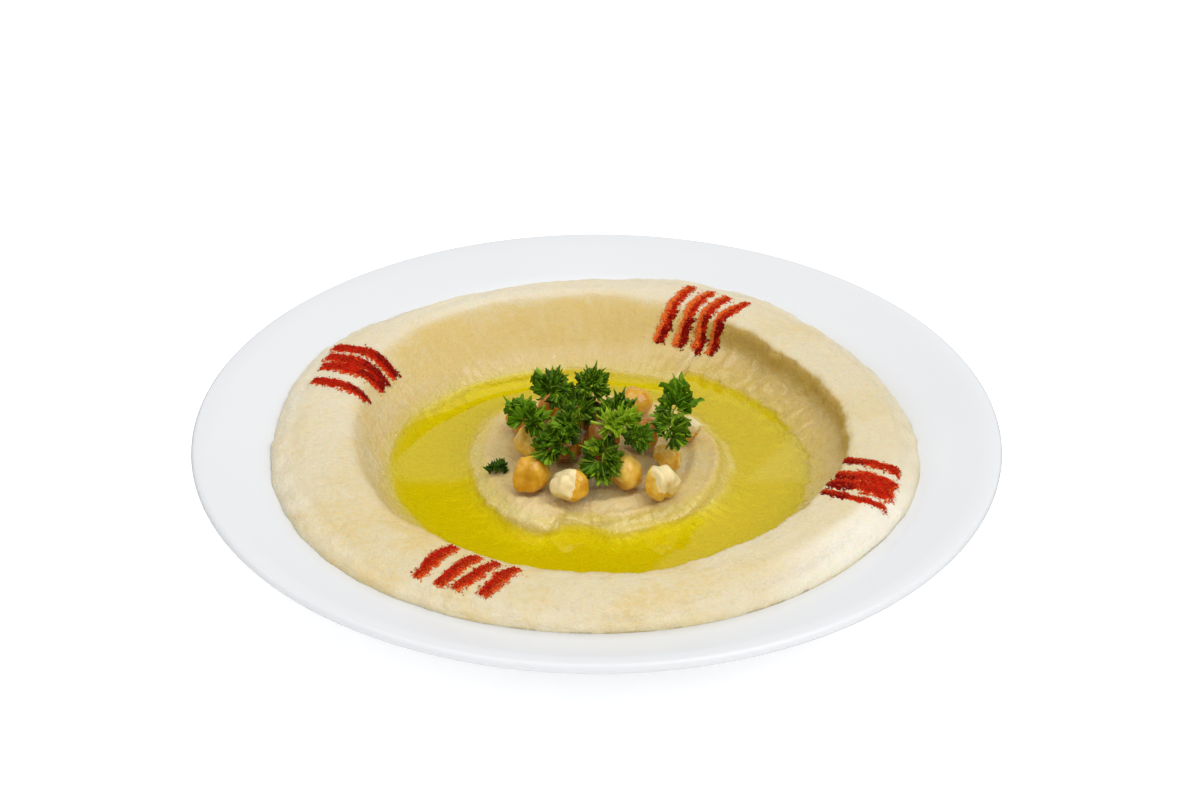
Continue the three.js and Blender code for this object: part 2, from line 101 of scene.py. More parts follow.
def around(points: dict[float, float], degrees: np.ndarray) -> np.ndarray:
    """Reads a smooth closed curve of values against bearings.

    Args:
        points: The value at a few bearings.
        degrees: The bearings to read.

    Returns:
        The value at each bearing.
    """
    keys = np.array(sorted(points), float)
    values = np.array([points[key] for key in sorted(points)], float)
    count = len(keys)
    angle = np.mod(degrees - keys[0], TURN) + keys[0]
    place = np.searchsorted(keys, angle, side="right") - 1

    def key(i: np.ndarray) -> np.ndarray:
        """Returns the bearing of a point, counted on past a whole turn."""
        return keys[i % count] + TURN * (i // count)

    def value(i: np.ndarray) -> np.ndarray:
        """Returns the value at a point, counted on past a whole turn."""
        return values[i % count]

    span = key(place + 1) - key(place)
    t = (angle - key(place)) / span
    enter = (value(place + 1) - value(place - 1)) / (key(place + 1) - key(place - 1)) * span
    leave = (value(place + 2) - value(place)) / (key(place + 2) - key(place)) * span
    start = (2 * t**3 - 3 * t**2 + 1) * value(place) + (t**3 - 2 * t**2 + t) * enter
    return start + (3 * t**2 - 2 * t**3) * value(place + 1) + (t**3 - t**2) * leave


def zigzag(value: np.ndarray) -> np.ndarray:
    """Returns 0 at whole numbers and 1 halfway between them."""
    return 1 - np.abs(2 * np.mod(value, 1.0) - 1)


def lumps(degrees: np.ndarray, phase: float, size: float) -> np.ndarray:
    """Returns the gentle unevenness of an edge that goes all the way round."""
    waves = enumerate(((5, 1.0), (11, 0.7), (17, 0.5)), start=1)
    return size * sum(depth * np.sin(count * np.radians(degrees) + i * phase) for i, (count, depth) in waves)


class Noise:
    """Seeded smooth noise in space, about -1 to 1 with its gain."""

    gain = 1.6
    layer_step = 31.7

    def __init__(self, seed: int) -> None:
        """Draws the lattice's gradients.

        Args:
            seed: What they are drawn from.
        """
        draw = np.random.default_rng(seed)
        self.order = np.concatenate([draw.permutation(256)] * 3)
        ways = draw.normal(size=(256, 3))
        self.ways = ways / np.linalg.norm(ways, axis=1, keepdims=True)

    def at(self, points: np.ndarray, size: float) -> np.ndarray:
        """Reads the noise.

        Args:
            points: Places in millimetres, the last axis being x, y and z.
            size: Millimetres from bump to bump.

        Returns:
            One value for each place.
        """
        place = points / size
        corner = np.floor(place).astype(int)
        inside = place - corner
        fade = inside**3 * (inside * (inside * 6 - 15) + 10)
        total = np.zeros(points.shape[:-1])
        for i in range(8):
            step = np.array([i & 1, (i >> 1) & 1, (i >> 2) & 1])
            cell = (corner + step) & 255
            row = self.order[self.order[self.order[cell[..., 0]] + cell[..., 1]] + cell[..., 2]]
            drop = np.sum(self.ways[row] * (inside - step), axis=-1)
            total += np.prod(np.where(step == 1, fade, 1 - fade), axis=-1) * drop
        return total * self.gain

    def rough(self, points: np.ndarray, size: float, layers: int = 3) -> np.ndarray:
        """Reads noise with finer noise on it, each layer half the size and depth of the last.

        Args:
            points: Places in millimetres.
            size: Millimetres from bump to bump in the first layer.
            layers: How many layers there are.

        Returns:
            One value for each place.
        """
        total = np.zeros(points.shape[:-1])
        for layer in range(layers):
            total += self.at(points + self.layer_step * layer, size / 2**layer) / 2**layer
        return total


# ---- Modelling helpers ----


def deselect_all() -> None:
    """Leaves edit mode and clears the selection."""
    if bpy.context.object and bpy.context.object.mode != "OBJECT":
        bpy.ops.object.mode_set(mode="OBJECT")
    bpy.ops.object.select_all(action="DESELECT")


def pick(*objects: bpy.types.Object) -> None:
    """Selects some objects alone and makes the first of them the active one.

    Args:
        *objects: The objects.
    """
    deselect_all()
    for obj in objects:
        obj.select_set(True)
    bpy.context.view_layer.objects.active = objects[0]


def settle(name: str) -> bpy.types.Object:
    """Names the new active object and puts its place into its mesh.

    Args:
        name: The object's name.

    Returns:
        The object.
    """
    obj = bpy.context.object
    pick(obj)
    bpy.ops.object.transform_apply(location=True, rotation=True, scale=True)
    obj.name = name
    obj.data.name = name
    return obj


def finish_with(obj: bpy.types.Object, kind: str, **settings: float | bool | tuple[float, ...]) -> None:
    """Adds a modifier and applies it.

    Args:
        obj: The object to finish.
        kind: The modifier's type.
        **settings: The modifier's own settings.
    """
    pick(obj)
    modifier = obj.modifiers.new(kind.lower(), kind)
    for key, value in settings.items():
        setattr(modifier, key, value)
    bpy.ops.object.modifier_apply(modifier=modifier.name)


def shade_smooth(obj: bpy.types.Object, degrees: float) -> None:
    """Shades an object smooth, but for edges sharper than an angle."""
    pick(obj)
    bpy.ops.object.shade_smooth_by_angle(angle=math.radians(degrees))


def spun(name: str, profile: list[tuple[float, float]], steps: int) -> bpy.types.Object:
    """Draws a profile by extruding a point along it and spins it into a closed shell.

    Args:
        name: The new object's name.
        profile: Radius and height of each point in millimetres, from the axis to the axis.
        steps: How many facets the shell has round the axis.

    Returns:
        The shell, with its faces pointing out.
    """
    deselect_all()
    bpy.ops.mesh.primitive_plane_add(size=MM)
    bpy.ops.object.mode_set(mode="EDIT")
    bpy.ops.mesh.merge(type="CENTER")
    points = [Vector((r * MM, 0.0, z * MM)) for r, z in profile]
    bpy.ops.transform.translate(value=points[0])
    for before, after in zip(points, points[1:]):
        bpy.ops.mesh.extrude_region_move(TRANSFORM_OT_translate={"value": after - before})
    bpy.ops.mesh.select_all(action="SELECT")
    bpy.ops.mesh.spin(steps=steps, angle=math.radians(TURN), center=(0, 0, 0), axis=(0, 0, 1))
    bpy.ops.mesh.select_all(action="SELECT")
    bpy.ops.mesh.remove_doubles(threshold=SEAM_WIDTH * MM)
    bpy.ops.mesh.normals_make_consistent(inside=False)
    bpy.ops.object.mode_set(mode="OBJECT")
    return settle(name)


def places_of(obj: bpy.types.Object) -> np.ndarray:
    """Reads where an object's vertices are.

    Args:
        obj: The object.

    Returns:
        The places in millimetres, one row each.
    """
    flat = np.empty(len(obj.data.vertices) * 3, np.float32)
    obj.data.vertices.foreach_get("co", flat)
    return flat.reshape(-1, 3).astype(float) / MM


def move_to(obj: bpy.types.Object, places: np.ndarray) -> None:
    """Moves an object's vertices to places in millimetres."""
    obj.data.vertices.foreach_set("co", (places * MM).astype(np.float32).ravel())
    obj.data.update()


def set_values(obj: bpy.types.Object, **values: Value) -> None:
    """Stores a number for each vertex under each name, for a material to read.

    Args:
        obj: The object.
        **values: One number for all the vertices, or one for each, by name.
    """
    for name, value in values.items():
        flat = np.broadcast_to(value, len(obj.data.vertices)).astype(np.float32)
        layer = obj.data.attributes.new(name, "FLOAT", "POINT")
        layer.data.foreach_set("value", flat)


# ---- Materials ----


class Shader:
    """A material's node tree, with short ways to add what the finishes need."""

    def __init__(self, name: str) -> None:
        """Makes a material with one Principled shader.

        Args:
            name: The material's name.
        """
        self.material = bpy.data.materials.new(name)
        self.material.use_nodes = True
        self.tree = self.material.node_tree
        self.tree.nodes.clear()
        self.body = self.node("BsdfPrincipled")
        self.output = self.node("OutputMaterial")
        self.give(self.output.inputs["Surface"], self.body.outputs["BSDF"])
        self.places = self.node("TexCoord").outputs["Object"]

    def node(self, kind: str) -> bpy.types.Node:
        """Adds a shader node of a kind."""
        return self.tree.nodes.new(f"ShaderNode{kind}")

    def give(self, target: Socket, value: Socket | float | tuple[float, ...]) -> None:
        """Feeds a socket from another one, or sets it.

        Args:
            target: The socket.
            value: The socket that feeds it, or a number, a vector or a colour.
        """
        if isinstance(value, Socket):
            self.tree.links.new(value, target)
        else:
            target.default_value = value

    def set(self, **values: Socket | float | tuple[float, ...]) -> None:
        """Gives the Principled shader's own sockets, named with underscores for spaces."""
        for key, value in values.items():
            self.give(self.body.inputs[key.replace("_", " ")], value)

    def noise(self, size: float, detail: float = 3.0, roughness: float = 0.5) -> Socket:
        """Adds noise that stays with the object.

        Args:
            size: Millimetres from patch to patch.
            detail: How many finer layers it has.
            roughness: How strong those layers are.

        Returns:
            The noise's value, from 0 to 1.
        """
        mapping = self.node("Mapping")
        mapping.inputs["Scale"].default_value = [1 / (size * MM)] * 3
        self.give(mapping.inputs["Vector"], self.places)
        node = self.node("TexNoise")
        for key, value in {"Scale": 1.0, "Detail": detail, "Roughness": roughness}.items():
            node.inputs[key].default_value = value
        self.give(node.inputs["Vector"], mapping.outputs["Vector"])
        return node.outputs["Fac"]

    def attribute(self, name: str) -> Socket:
        """Reads the value stored on the vertices under a name.

        Args:
            name: The value's name.

        Returns:
            The value.
        """
        node = self.node("Attribute")
        node.attribute_name = name
        return node.outputs["Fac"]

    def maths(self, kind: str, first: Socket | float, second: Socket | float) -> Socket:
        """Adds a Math node.

        Args:
            kind: The sum it works out.
            first: Its first socket or number.
            second: Its second socket or number.

        Returns:
            The result.
        """
        node = self.node("Math")
        node.operation = kind
        self.give(node.inputs[0], first)
        self.give(node.inputs[1], second)
        return node.outputs["Value"]

    def spread(
        self, value: Socket, low: float, high: float, to_low: float = 0.0, to_high: float = 1.0
    ) -> Socket:
        """Stretches a value smoothly from one range to another.

        Args:
            value: The value.
            low: Where the first range starts.
            high: Where it ends.
            to_low: What its start becomes.
            to_high: What its end becomes.

        Returns:
            The stretched value, held within the second range.
        """
        node = self.node("MapRange")
        node.interpolation_type = "SMOOTHSTEP"
        self.give(node.inputs["Value"], value)
        names = ("From Min", "From Max", "To Min", "To Max")
        for key, number in zip(names, (low, high, to_low, to_high)):
            node.inputs[key].default_value = number
        return node.outputs["Result"]

    def uneven(self, value: Socket, noise: Socket, depth: float, reach: float = 0.2) -> Socket:
        """Makes a value uneven.

        Args:
            value: The even value.
            noise: The noise to add, from 0 to 1.
            depth: The most that the noise adds or takes away.
            reach: How far from its middle the noise has its full depth.

        Returns:
            The uneven value.
        """
        return self.maths("ADD", value, self.spread(noise, 0.5 - reach, 0.5 + reach, -depth, depth))

    def blend(self, share: Socket, first: Socket | Colour, second: Socket | Colour) -> Socket:
        """Mixes two colours.

        Args:
            share: How much of the second colour there is, from 0 to 1.
            first: The first colour.
            second: The second colour.

        Returns:
            The mixed colour.
        """
        node = self.node("Mix")
        node.data_type = "RGBA"
        self.give(node.inputs[0], share)
        for place, value in ((6, first), (7, second)):
            self.give(node.inputs[place], (*value, 1.0) if isinstance(value, tuple) else value)
        return node.outputs[2]

    def bump(self, height: Socket, depth: float, strength: float) -> None:
        """Roughens the surface.

        Args:
            height: The height, from 0 to 1.
            depth: The millimetres that a height of 1 stands for.
            strength: How strongly the light follows it, from 0 to 1.
        """
        node = self.node("Bump")
        node.inputs["Strength"].default_value = strength
        node.inputs["Distance"].default_value = depth * MM
        self.give(node.inputs["Height"], height)
        self.set(Normal=node.outputs["Normal"])


@dataclass(frozen=True)
class GlazeFinish:
    """White pottery under a clear glaze."""

    colour: Colour = (0.778, 0.79, 0.808)
    shade: Colour = (0.763, 0.775, 0.793)
    roughness: float = 0.2
    cloud: float = 38.0
    wave: float = 26.0
    wave_depth: float = 0.05

    def material(self) -> bpy.types.Material:
        """Builds the glaze: faint cloudiness and the slight waviness of dipped glaze.

        Returns:
            The material.
        """
        shader = Shader("white_glaze")
        shader.set(Base_Color=shader.blend(shader.noise(self.cloud, 2), self.colour, self.shade))
        shader.set(Roughness=self.roughness, IOR=1.5, Specular_IOR_Level=0.35)
        shader.bump(shader.noise(self.wave, 1), self.wave_depth, 0.15)
        return shader.material


@dataclass(frozen=True)
class HummusFinish:
    """Chickpea paste with tahini: cream on top, tan where the spoon passed, red under paprika, with painted
    shade and painted light mixed into its colour.
    """

    cream: Colour = (0.725, 0.625, 0.40)
    # The pale flecks, and the painted light and highlights stored on the vertices.
    pale: Colour = (0.86, 0.80, 0.66)
    tan: Colour = (0.71, 0.525, 0.185)
    oiled: Colour = (0.70, 0.55, 0.12)
    # The painted shade's colour.
    painted_shade_brown: Colour = (0.50, 0.325, 0.05)
    red: Colour = (0.55, 0.010, 0.001)
    deep_red: Colour = (0.20, 0.002, 0.001)
    orange: Colour = (0.80, 0.16, 0.025)
    cloud: float = 16.0
    blotch: float = 2.6
    grain: float = 1.5
    fleck: float = 0.85
    powder_patch: float = 2.4
    powder_grain: float = 0.75
    grain_depth: float = 0.5

    def material(self) -> bpy.types.Material:
        """Builds the paste, with its grain, flecks and pores and the powder's stain.

        Returns:
            The material.
        """
        shader = Shader("hummus_paste")
        grain = shader.noise(self.grain, 4, 0.6)
        fleck = shader.noise(self.fleck, 2)
        colour, powder = self.powdered(shader, self.paste(shader, grain, fleck))
        wet = shader.attribute("wet")
        moist = shader.spread(shader.noise(5, 3), 0.35, 0.65, 0.42, 0.58)
        moist = shader.maths("SUBTRACT", moist, shader.maths("MULTIPLY", wet, 0.2))
        shader.set(
            Base_Color=colour,
            Roughness=shader.maths("MAXIMUM", moist, shader.maths("MULTIPLY", powder, 0.8)),
            Specular_IOR_Level=shader.spread(powder, 0.0, 1.0, 0.5, 0.08),
            Coat_Weight=shader.maths("MULTIPLY", wet, shader.spread(powder, 0.0, 1.0, 0.7, 0.0)),
        )
        shader.set(IOR=1.42, Coat_Roughness=0.14)
        shader.set(Subsurface_Weight=0.35, Subsurface_Scale=0.0025, Subsurface_Radius=(1.0, 0.6, 0.3))
        height = shader.maths("ADD", grain, shader.maths("MULTIPLY", fleck, 0.6))
        height = shader.maths("ADD", height, shader.maths("MULTIPLY", powder, shader.noise(0.45, 2)))
        shader.bump(height, self.grain_depth, 0.9)
        return shader.material

    def paste(self, shader: Shader, grain: Socket, fleck: Socket) -> Socket:
        """Mixes the bare paste's colour, with the painted shade and painted light stored on its vertices.

        Args:
            shader: The material being built.
            grain: The paste's grain.
            fleck: The paler flecks in it.

        Returns:
            The colour.
        """
        tan_share = shader.uneven(shader.attribute("tan"), shader.noise(self.cloud, 3), 0.22)
        tan_share = shader.uneven(tan_share, grain, 0.22, reach=0.25)
        blotch = shader.noise(self.blotch, 2)
        colour = shader.blend(shader.spread(tan_share, 0.0, 1.0), self.cream, self.tan)
        colour = shader.blend(shader.attribute("yellow"), colour, self.oiled)
        # Painted shade: darker, towards brown, where the vertices store shade.
        colour = shader.blend(shader.attribute("shade"), colour, self.painted_shade_brown)
        colour = shader.blend(shader.spread(fleck, 0.64, 0.78, 0.0, 0.25), colour, self.pale)
        colour = shader.blend(shader.spread(blotch, 0.64, 0.74, 0.0, 0.3), colour, self.tan)
        # Painted light and highlights: lighter, towards pale, where the vertices store it.
        return shader.blend(shader.attribute("pale"), colour, self.pale)

    def powdered(self, shader: Shader, colour: Socket) -> tuple[Socket, Socket]:
        """Lays the paprika's stain over a colour.

        Args:
            shader: The material being built.
            colour: The colour under the powder.

        Returns:
            The new colour, and how much powder there is.
        """
        grains = shader.noise(self.powder_grain, 3, 0.65)
        patches = shader.noise(self.powder_patch, 2)
        amount = shader.uneven(shader.attribute("paprika"), grains, 0.36, reach=0.25)
        amount = shader.uneven(amount, patches, 0.16)
        loose = shader.spread(shader.uneven(shader.attribute("dust"), grains, 0.45), 0.35, 0.75)
        core = shader.spread(amount, 0.0, 0.4)
        core = shader.maths("MULTIPLY", core, shader.maths("SUBTRACT", 1.0, loose))
        dark = shader.spread(shader.uneven(shader.attribute("deep"), patches, 0.35), 0.3, 0.8)
        red = shader.blend(dark, shader.blend(core, self.orange, self.red), self.deep_red)
        powder = shader.spread(amount, -0.04, 0.1)
        return shader.blend(powder, colour, red), powder


@dataclass(frozen=True)
class OilFinish:
    """Clear yellow-green olive oil that takes the blue out of what lies under it."""

    index: float = 1.47
    tint: Colour = (0.981, 0.975, 0.03)
    density: float = 575.0

    def material(self) -> bpy.types.Material:
        """Builds the oil: seen from outside it bends and mirrors light, and lamps pass it.

        Returns:
            The material.
        """
        shader = Shader("olive_oil")
        shader.set(Base_Color=(1, 1, 1, 1), Roughness=0.03, IOR=self.index, Transmission_Weight=1.0)
        choice = shader.node("MixShader")
        shader.give(choice.inputs[0], shader.node("LightPath").outputs["Is Camera Ray"])
        shader.give(choice.inputs[1], shader.node("BsdfTransparent").outputs["BSDF"])
        shader.give(choice.inputs[2], shader.body.outputs["BSDF"])
        shader.give(shader.output.inputs["Surface"], choice.outputs["Shader"])
        depth = shader.node("VolumeAbsorption")
        depth.inputs["Color"].default_value = (*self.tint, 1.0)
        depth.inputs["Density"].default_value = self.density
        shader.give(shader.output.inputs["Volume"], depth.outputs["Volume"])
        return shader.material


@dataclass(frozen=True)
class ChickpeaFinish:
    """A cooked chickpea: an oily tan skin, cream where the skin has split off."""

    name: str
    skin: Colour = (0.80, 0.46, 0.035)
    # Warm mottling, and the painted shade in the groove and on the underside.
    warm_tone_and_shade: Colour = (0.62, 0.28, 0.008)
    flesh: Colour = (0.87, 0.72, 0.38)
    mottle: float = 3.2
    wrinkle: float = 1.3
    wrinkle_depth: float = 0.2

    def material(self) -> bpy.types.Material:
        """Builds the skin with its mottling, painted shade in the groove and on the underside, and the bare
        flesh.

        Returns:
            The material.
        """
        shader = Shader(self.name)
        mottle = shader.spread(shader.noise(self.mottle, 3), 0.35, 0.7)
        colour = shader.blend(mottle, self.skin, self.warm_tone_and_shade)
        # Painted shade: warmer and darker in the groove and on the side turned away from up.
        colour = shader.blend(shader.attribute("groove"), colour, self.warm_tone_and_shade)
        colour = shader.blend(shader.attribute("low"), colour, self.warm_tone_and_shade)
        bare = shader.uneven(shader.attribute("bare"), shader.noise(1.6, 3), 0.25)
        bare = shader.spread(bare, 0.42, 0.58)
        shader.set(Base_Color=shader.blend(bare, colour, self.flesh))
        shader.set(Roughness=shader.spread(bare, 0.0, 1.0, 0.27, 0.5))
        shader.set(IOR=1.46, Coat_Weight=0.45, Coat_Roughness=0.09)
        shader.set(Subsurface_Weight=0.3, Subsurface_Scale=0.002, Subsurface_Radius=(1.0, 0.5, 0.2))
        fine = shader.maths("MULTIPLY", shader.noise(0.5, 2), 0.4)
        shader.bump(shader.maths("ADD", shader.noise(self.wrinkle, 3), fine), self.wrinkle_depth, 0.7)
        return shader.material


@dataclass(frozen=True)
class LeafFinish:
    """A curly parsley leaf: deep green, brighter along its ribs and where it is young, with painted
    highlights at its tooth tips and painted shade between its teeth.
    """

    name: str
    green: Colour = (0.088, 0.215, 0.003)
    # Darker leaflets, and the painted shade between the teeth.
    dark: Colour = (0.020, 0.066, 0.001)
    # Pale ribs, and painted highlights at the tooth and lobe tips.
    rib_and_highlight_green: Colour = (0.42, 0.62, 0.025)
    patch: float = 3.0
    vein: float = 0.7
    vein_depth: float = 0.12

    def material(self) -> bpy.types.Material:
        """Builds the leaf with its ribs and painted highlights, its painted shade, veins and slightly waxy
        sheen.

        Returns:
            The material.
        """
        shader = Shader(self.name)
        patch = shader.noise(self.patch, 3)
        # Tone: random and young leaflets are their own colour; lighter upright leaflets and edges are painted
        # light.
        tone = shader.spread(shader.uneven(shader.attribute("tone"), patch, 0.3), 0.0, 1.0)
        colour = shader.blend(tone, self.dark, self.green)
        # Painted shade: darker in the valleys between the teeth.
        colour = shader.blend(shader.attribute("valley"), colour, self.dark)
        broken = shader.spread(shader.noise(1.2, 2), 0.3, 0.7, 0.4, 1.0)
        # Pale ribs with painted highlights at the tips of the teeth and lobes.
        rib = shader.maths("MULTIPLY", shader.attribute("rib"), broken)
        shader.set(Base_Color=shader.blend(rib, colour, self.rib_and_highlight_green))
        shader.set(Roughness=shader.spread(patch, 0.3, 0.7, 0.3, 0.48))
        shader.set(IOR=1.45, Specular_IOR_Level=0.22)
        shader.set(Subsurface_Weight=0.1, Subsurface_Scale=0.0008, Subsurface_Radius=(0.6, 1.0, 0.1))
        shader.bump(shader.noise(self.vein, 3), self.vein_depth, 0.7)
        return shader.material


@dataclass(frozen=True)
class PowderFinish:
    """Loose grains of paprika, from orange to brick red."""

    orange: Colour = (0.78, 0.14, 0.02)
    red: Colour = (0.38, 0.006, 0.001)

    def material(self) -> bpy.types.Material:
        """Builds the grains, each its own red by its stored tone.

        Returns:
            The material.
        """
        shader = Shader("paprika_powder")
        tone = shader.uneven(shader.attribute("tone"), shader.noise(0.4, 2), 0.2)
        shader.set(Base_Color=shader.blend(tone, self.red, self.orange))
        shader.set(Roughness=0.9, Specular_IOR_Level=0.1)
        return shader.material


# ---- The plate ----


@dataclass
class Plate:
    """The shallow round plate: a level floor, a curved well, a flat rim and a foot ring."""

    radius: float = 120.0
    height: float = 28.0
    wall: float = 3.2
    well_radius: float = 97.0
    well_edge_height: float = 22.0
    floor_radius: float = 64.0
    floor_height: float = 5.5
    well_bend: float = 1.6
    foot_radius: float = 60.0
    foot_width: float = 4.0
    foot_slope: float = 2.0
    foot_round: float = 0.4
    floor_rings: tuple[float, ...] = (0.0, 20.0, 40.0, 58.0)
    well_rings: int = 12
    rim_rings: int = 4
    steps: int = 240

    def top(self, r: Value) -> Value:
        """Works out how high the plate's upper face is.

        Args:
            r: How far from the plate's axis.

        Returns:
            The height there.
        """
        out = np.clip((r - self.floor_radius) / (self.well_radius - self.floor_radius), 0.0, 1.0)
        well = mix(self.floor_height, self.well_edge_height, out**self.well_bend)
        rim = np.clip((r - self.well_radius) / (self.radius - self.wall / 2 - self.well_radius), 0.0, 1.0)
        return well + (self.height - self.well_edge_height) * rim

    def face(self) -> list[tuple[float, float]]:
        """Draws the upper face's section, from the middle out to the lip.

        Returns:
            Radius and height of each point.
        """
        well, rim, lip = self.well_rings, self.rim_rings, self.radius - self.wall / 2
        radii = list(self.floor_rings)
        radii += [mix(self.floor_radius, self.well_radius, i / well) for i in range(well + 1)]
        radii += [mix(self.well_radius, lip, i / rim) for i in range(1, rim)]
        return [(r, float(self.top(r))) for r in radii]

    def lip(self) -> list[tuple[float, float]]:
        """Draws the rolled lip's half circle.

        Returns:
            Radius and height of each point.
        """
        half = self.wall / 2
        turns = [math.radians(degrees) for degrees in range(90, -91, -15)]
        middle = (self.radius - half, self.height - half)
        return [(middle[0] + half * math.cos(a), middle[1] + half * math.sin(a)) for a in turns]

    def back(self) -> list[tuple[float, float]]:
        """Draws the back of the rim and well, a wall's thickness below the face.

        Returns:
            Radius and height of each point.
        """
        points = []
        for i in range(14, -1, -1):
            r = mix(self.floor_radius + 4, self.radius - 6, i / 14)
            slope = math.atan(float(self.top(r) - self.top(r - 1.0)))
            point = (r + self.wall * math.sin(slope), float(self.top(r)) - self.wall * math.cos(slope))
            if point[0] > self.foot()[0][0] + 1.0:
                points.append(point)
        return points

    def foot(self) -> list[tuple[float, float]]:
        """Draws the foot ring's section and the underside within it.

        Returns:
            Radius and height of each point.
        """
        under = self.floor_height - self.wall
        half = self.foot_width / 2
        outer = [(half + self.foot_slope, under), (half + 0.3, 0.6), (half - self.foot_round, 0.0)]
        ring = [(self.foot_radius + out, z) for out, z in outer]
        ring += [(self.foot_radius - out, z) for out, z in reversed(outer)]
        return ring + [(self.foot_radius / 2, under), (0.0, under)]

    def build(self) -> bpy.types.Object:
        """Spins the plate and dresses it in its glaze.

        Returns:
            The plate.
        """
        plate = spun("plate_pottery", self.face() + self.lip() + self.back() + self.foot(), self.steps)
        shade_smooth(plate, 50)
        plate.data.materials.append(GlazeFinish().material())
        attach(plate, "root")
        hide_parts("plate")
        return plate


# ---- The hummus ----


class Zone(Enum):
    """Zones across the hummus: the leading points it lies between, and how softly it ends.

    The points are those of HummusSpread.leads, counted from the outer edge inwards.
    """

    SIDE = (-1.0, 2.2, 0.6)
    SIDE_LIGHT = (0.8, 3.0, 0.9)
    EDGE_LIGHT = (0.6, 2.3, 0.7)
    STIPPLE = (1.6, 3.3, 0.7)
    RING_LIGHT = (1.0, 5.4, 1.0)
    CROWN = (2.2, 5.6, 0.6)
    WALL = (6.1, 8.8, 0.4)
    BROW = (6.2, 7.1, 0.7)
    UNDER_BROW = (7.1, 9.0, 0.4)
    LIP = (7.2, 9.3, 0.5)
    LIP_LIGHT = (7.8, 9.3, 0.5)
    FOOT = (8.1, 9.6, 0.5)
    FOOT_LIGHT = (8.2, 9.0, 0.4)
    OVER_OIL = (0.0, 9.2, 0.4)
    WET = (8.4, 15.0, 0.5)
    OILED = (8.9, 15.2, 0.6)
    ISLAND = (14.2, 30.0, 0.8)
    ISLAND_TOP = (14.4, 30.0, 0.8)


class Side(Enum):
    """Sides of the hummus: the bearing it faces, and how many degrees it fades over."""

    LEFT = (185.0, 38.0)
    FRONT = (270.0, 50.0)
    RIGHT = (345.0, 38.0)
    BEHIND = (100.0, 40.0)
    # Painted shade darkens the far wall here.
    SHADED = (92.0, 45.0)
    # Painted sheen on the ring's far side.
    HAZY = (108.0, 62.0)
    # Painted highlight on the ring's outer edge at the right.
    BRIGHT = (325.0, 20.0)
    TANNED = (230.0, 24.0)
    # Painted light on the island in front of the pile.
    BEFORE_PILE = (300.0, 50.0)
    TORN_SHORE = (215.0, 42.0)
    LOBE = (238.0, 17.0)
    LOBE_LIGHT = (236.0, 15.0)
    CUT = (262.0, 9.0)

    def at(self, degrees: Value) -> np.ndarray:
        """Returns 1 at this side's bearing, fading to 0 away from it."""
        return toward(degrees, *self.value)


class Grain(Enum):
    """Kinds of unevenness: depth, millimetres from bump to bump, and layers of finer bumps."""

    SWELL = (0.32, 19.0, 1)
    LUMP = (0.16, 7.5, 1)
    PASTE = (0.16, 3.0, 3)
    BRUSHED = (1.0, 2.6, 2)
    STIPPLE = (0.30, 2.6, 2)
    COARSE_SIDE = (0.28, 4.5, 3)
    STREAK = (0.24, 1.5, 2)
    BROKEN_WALL = (0.3, 5.5, 3)
    BROKEN_FOOT = (0.35, 4.0, 3)
    LIP = (0.55, 1.9, 1)
    ISLAND_SOFT = (0.2, 5.0, 2)
    ISLAND_FINE = (0.2, 1.8, 2)
    WANDER = (0.9, 16.0, 1)
    RIDGE = (0.3, 1.3, 2)
    LOBE = (0.8, 5.0, 3)
    OUTER_EDGE = (0.45, 9.0, 3)
    CREST = (0.75, 7.0, 3)
    SHORE = (1.0, 6.0, 3)
    ISLAND_SHORE = (0.6, 5.0, 3)
    POWDER_EDGE = (0.5, 3.0, 3)
    POWDER_TOP = (0.5, 1.6, 1)

    def on(self, noise: Noise, spots: np.ndarray) -> np.ndarray:
        """Returns this unevenness at places, read from a noise."""
        depth, size, layers = self.value
        return depth * noise.rough(spots, size, layers)


@dataclass(frozen=True)
class Bend:
    """A bend of the ring's inner wall, where the spoon swept it and where it broke off steeply.

    Swept is its share of the way from the crest to the shore, and steep its millimetres in from
    the crest; the heights are above the table.
    """

    swept: float
    steep: float
    swept_height: float
    steep_height: float


@dataclass(frozen=True)
class Stripe:
    """One paprika stripe, its ends seen from above."""

    outer: np.ndarray
    inner: np.ndarray
    width: float
    dust: float
    deep: float

    def across(self, flat: np.ndarray) -> tuple[np.ndarray, np.ndarray, float]:
        """Measures places against the stripe.

        Args:
            flat: The places, seen from above.

        Returns:
            How far along the stripe they lie, from 0 to 1, how far beside it, and its length.
        """
        way = self.inner - self.outer
        length = float(np.linalg.norm(way))
        beside = np.array([-way[1], way[0]]) / length
        return ((flat - self.outer) @ way) / length**2, (flat - self.outer) @ beside, length


@dataclass(frozen=True)
class StripeGroup:
    """Four paprika stripes side by side.

    The radii are those of the first and last stripe's ends; each stripe has a bearing for its
    outer and inner end, and a width. Dust is how much orange powder lies along one side, and
    deep how dark the inner ends are.
    """

    outer: tuple[float, float]
    inner: tuple[float, float]
    bearings: tuple[tuple[float, float], ...]
    widths: tuple[float, ...]
    dust: float
    deep: float

    def stripes(self) -> list[Stripe]:
        """Lays the group's stripes out.

        Returns:
            The stripes.
        """
        stripes = []
        for i, (bearings, width) in enumerate(zip(self.bearings, self.widths)):
            share = i / (len(self.bearings) - 1)
            radii = (mix(*self.outer, share), mix(*self.inner, share))
            ends = [on_circle(bearing, radius, 0.0)[:2] for bearing, radius in zip(bearings, radii)]
            stripes.append(Stripe(*ends, width, self.dust, self.deep))
        return stripes


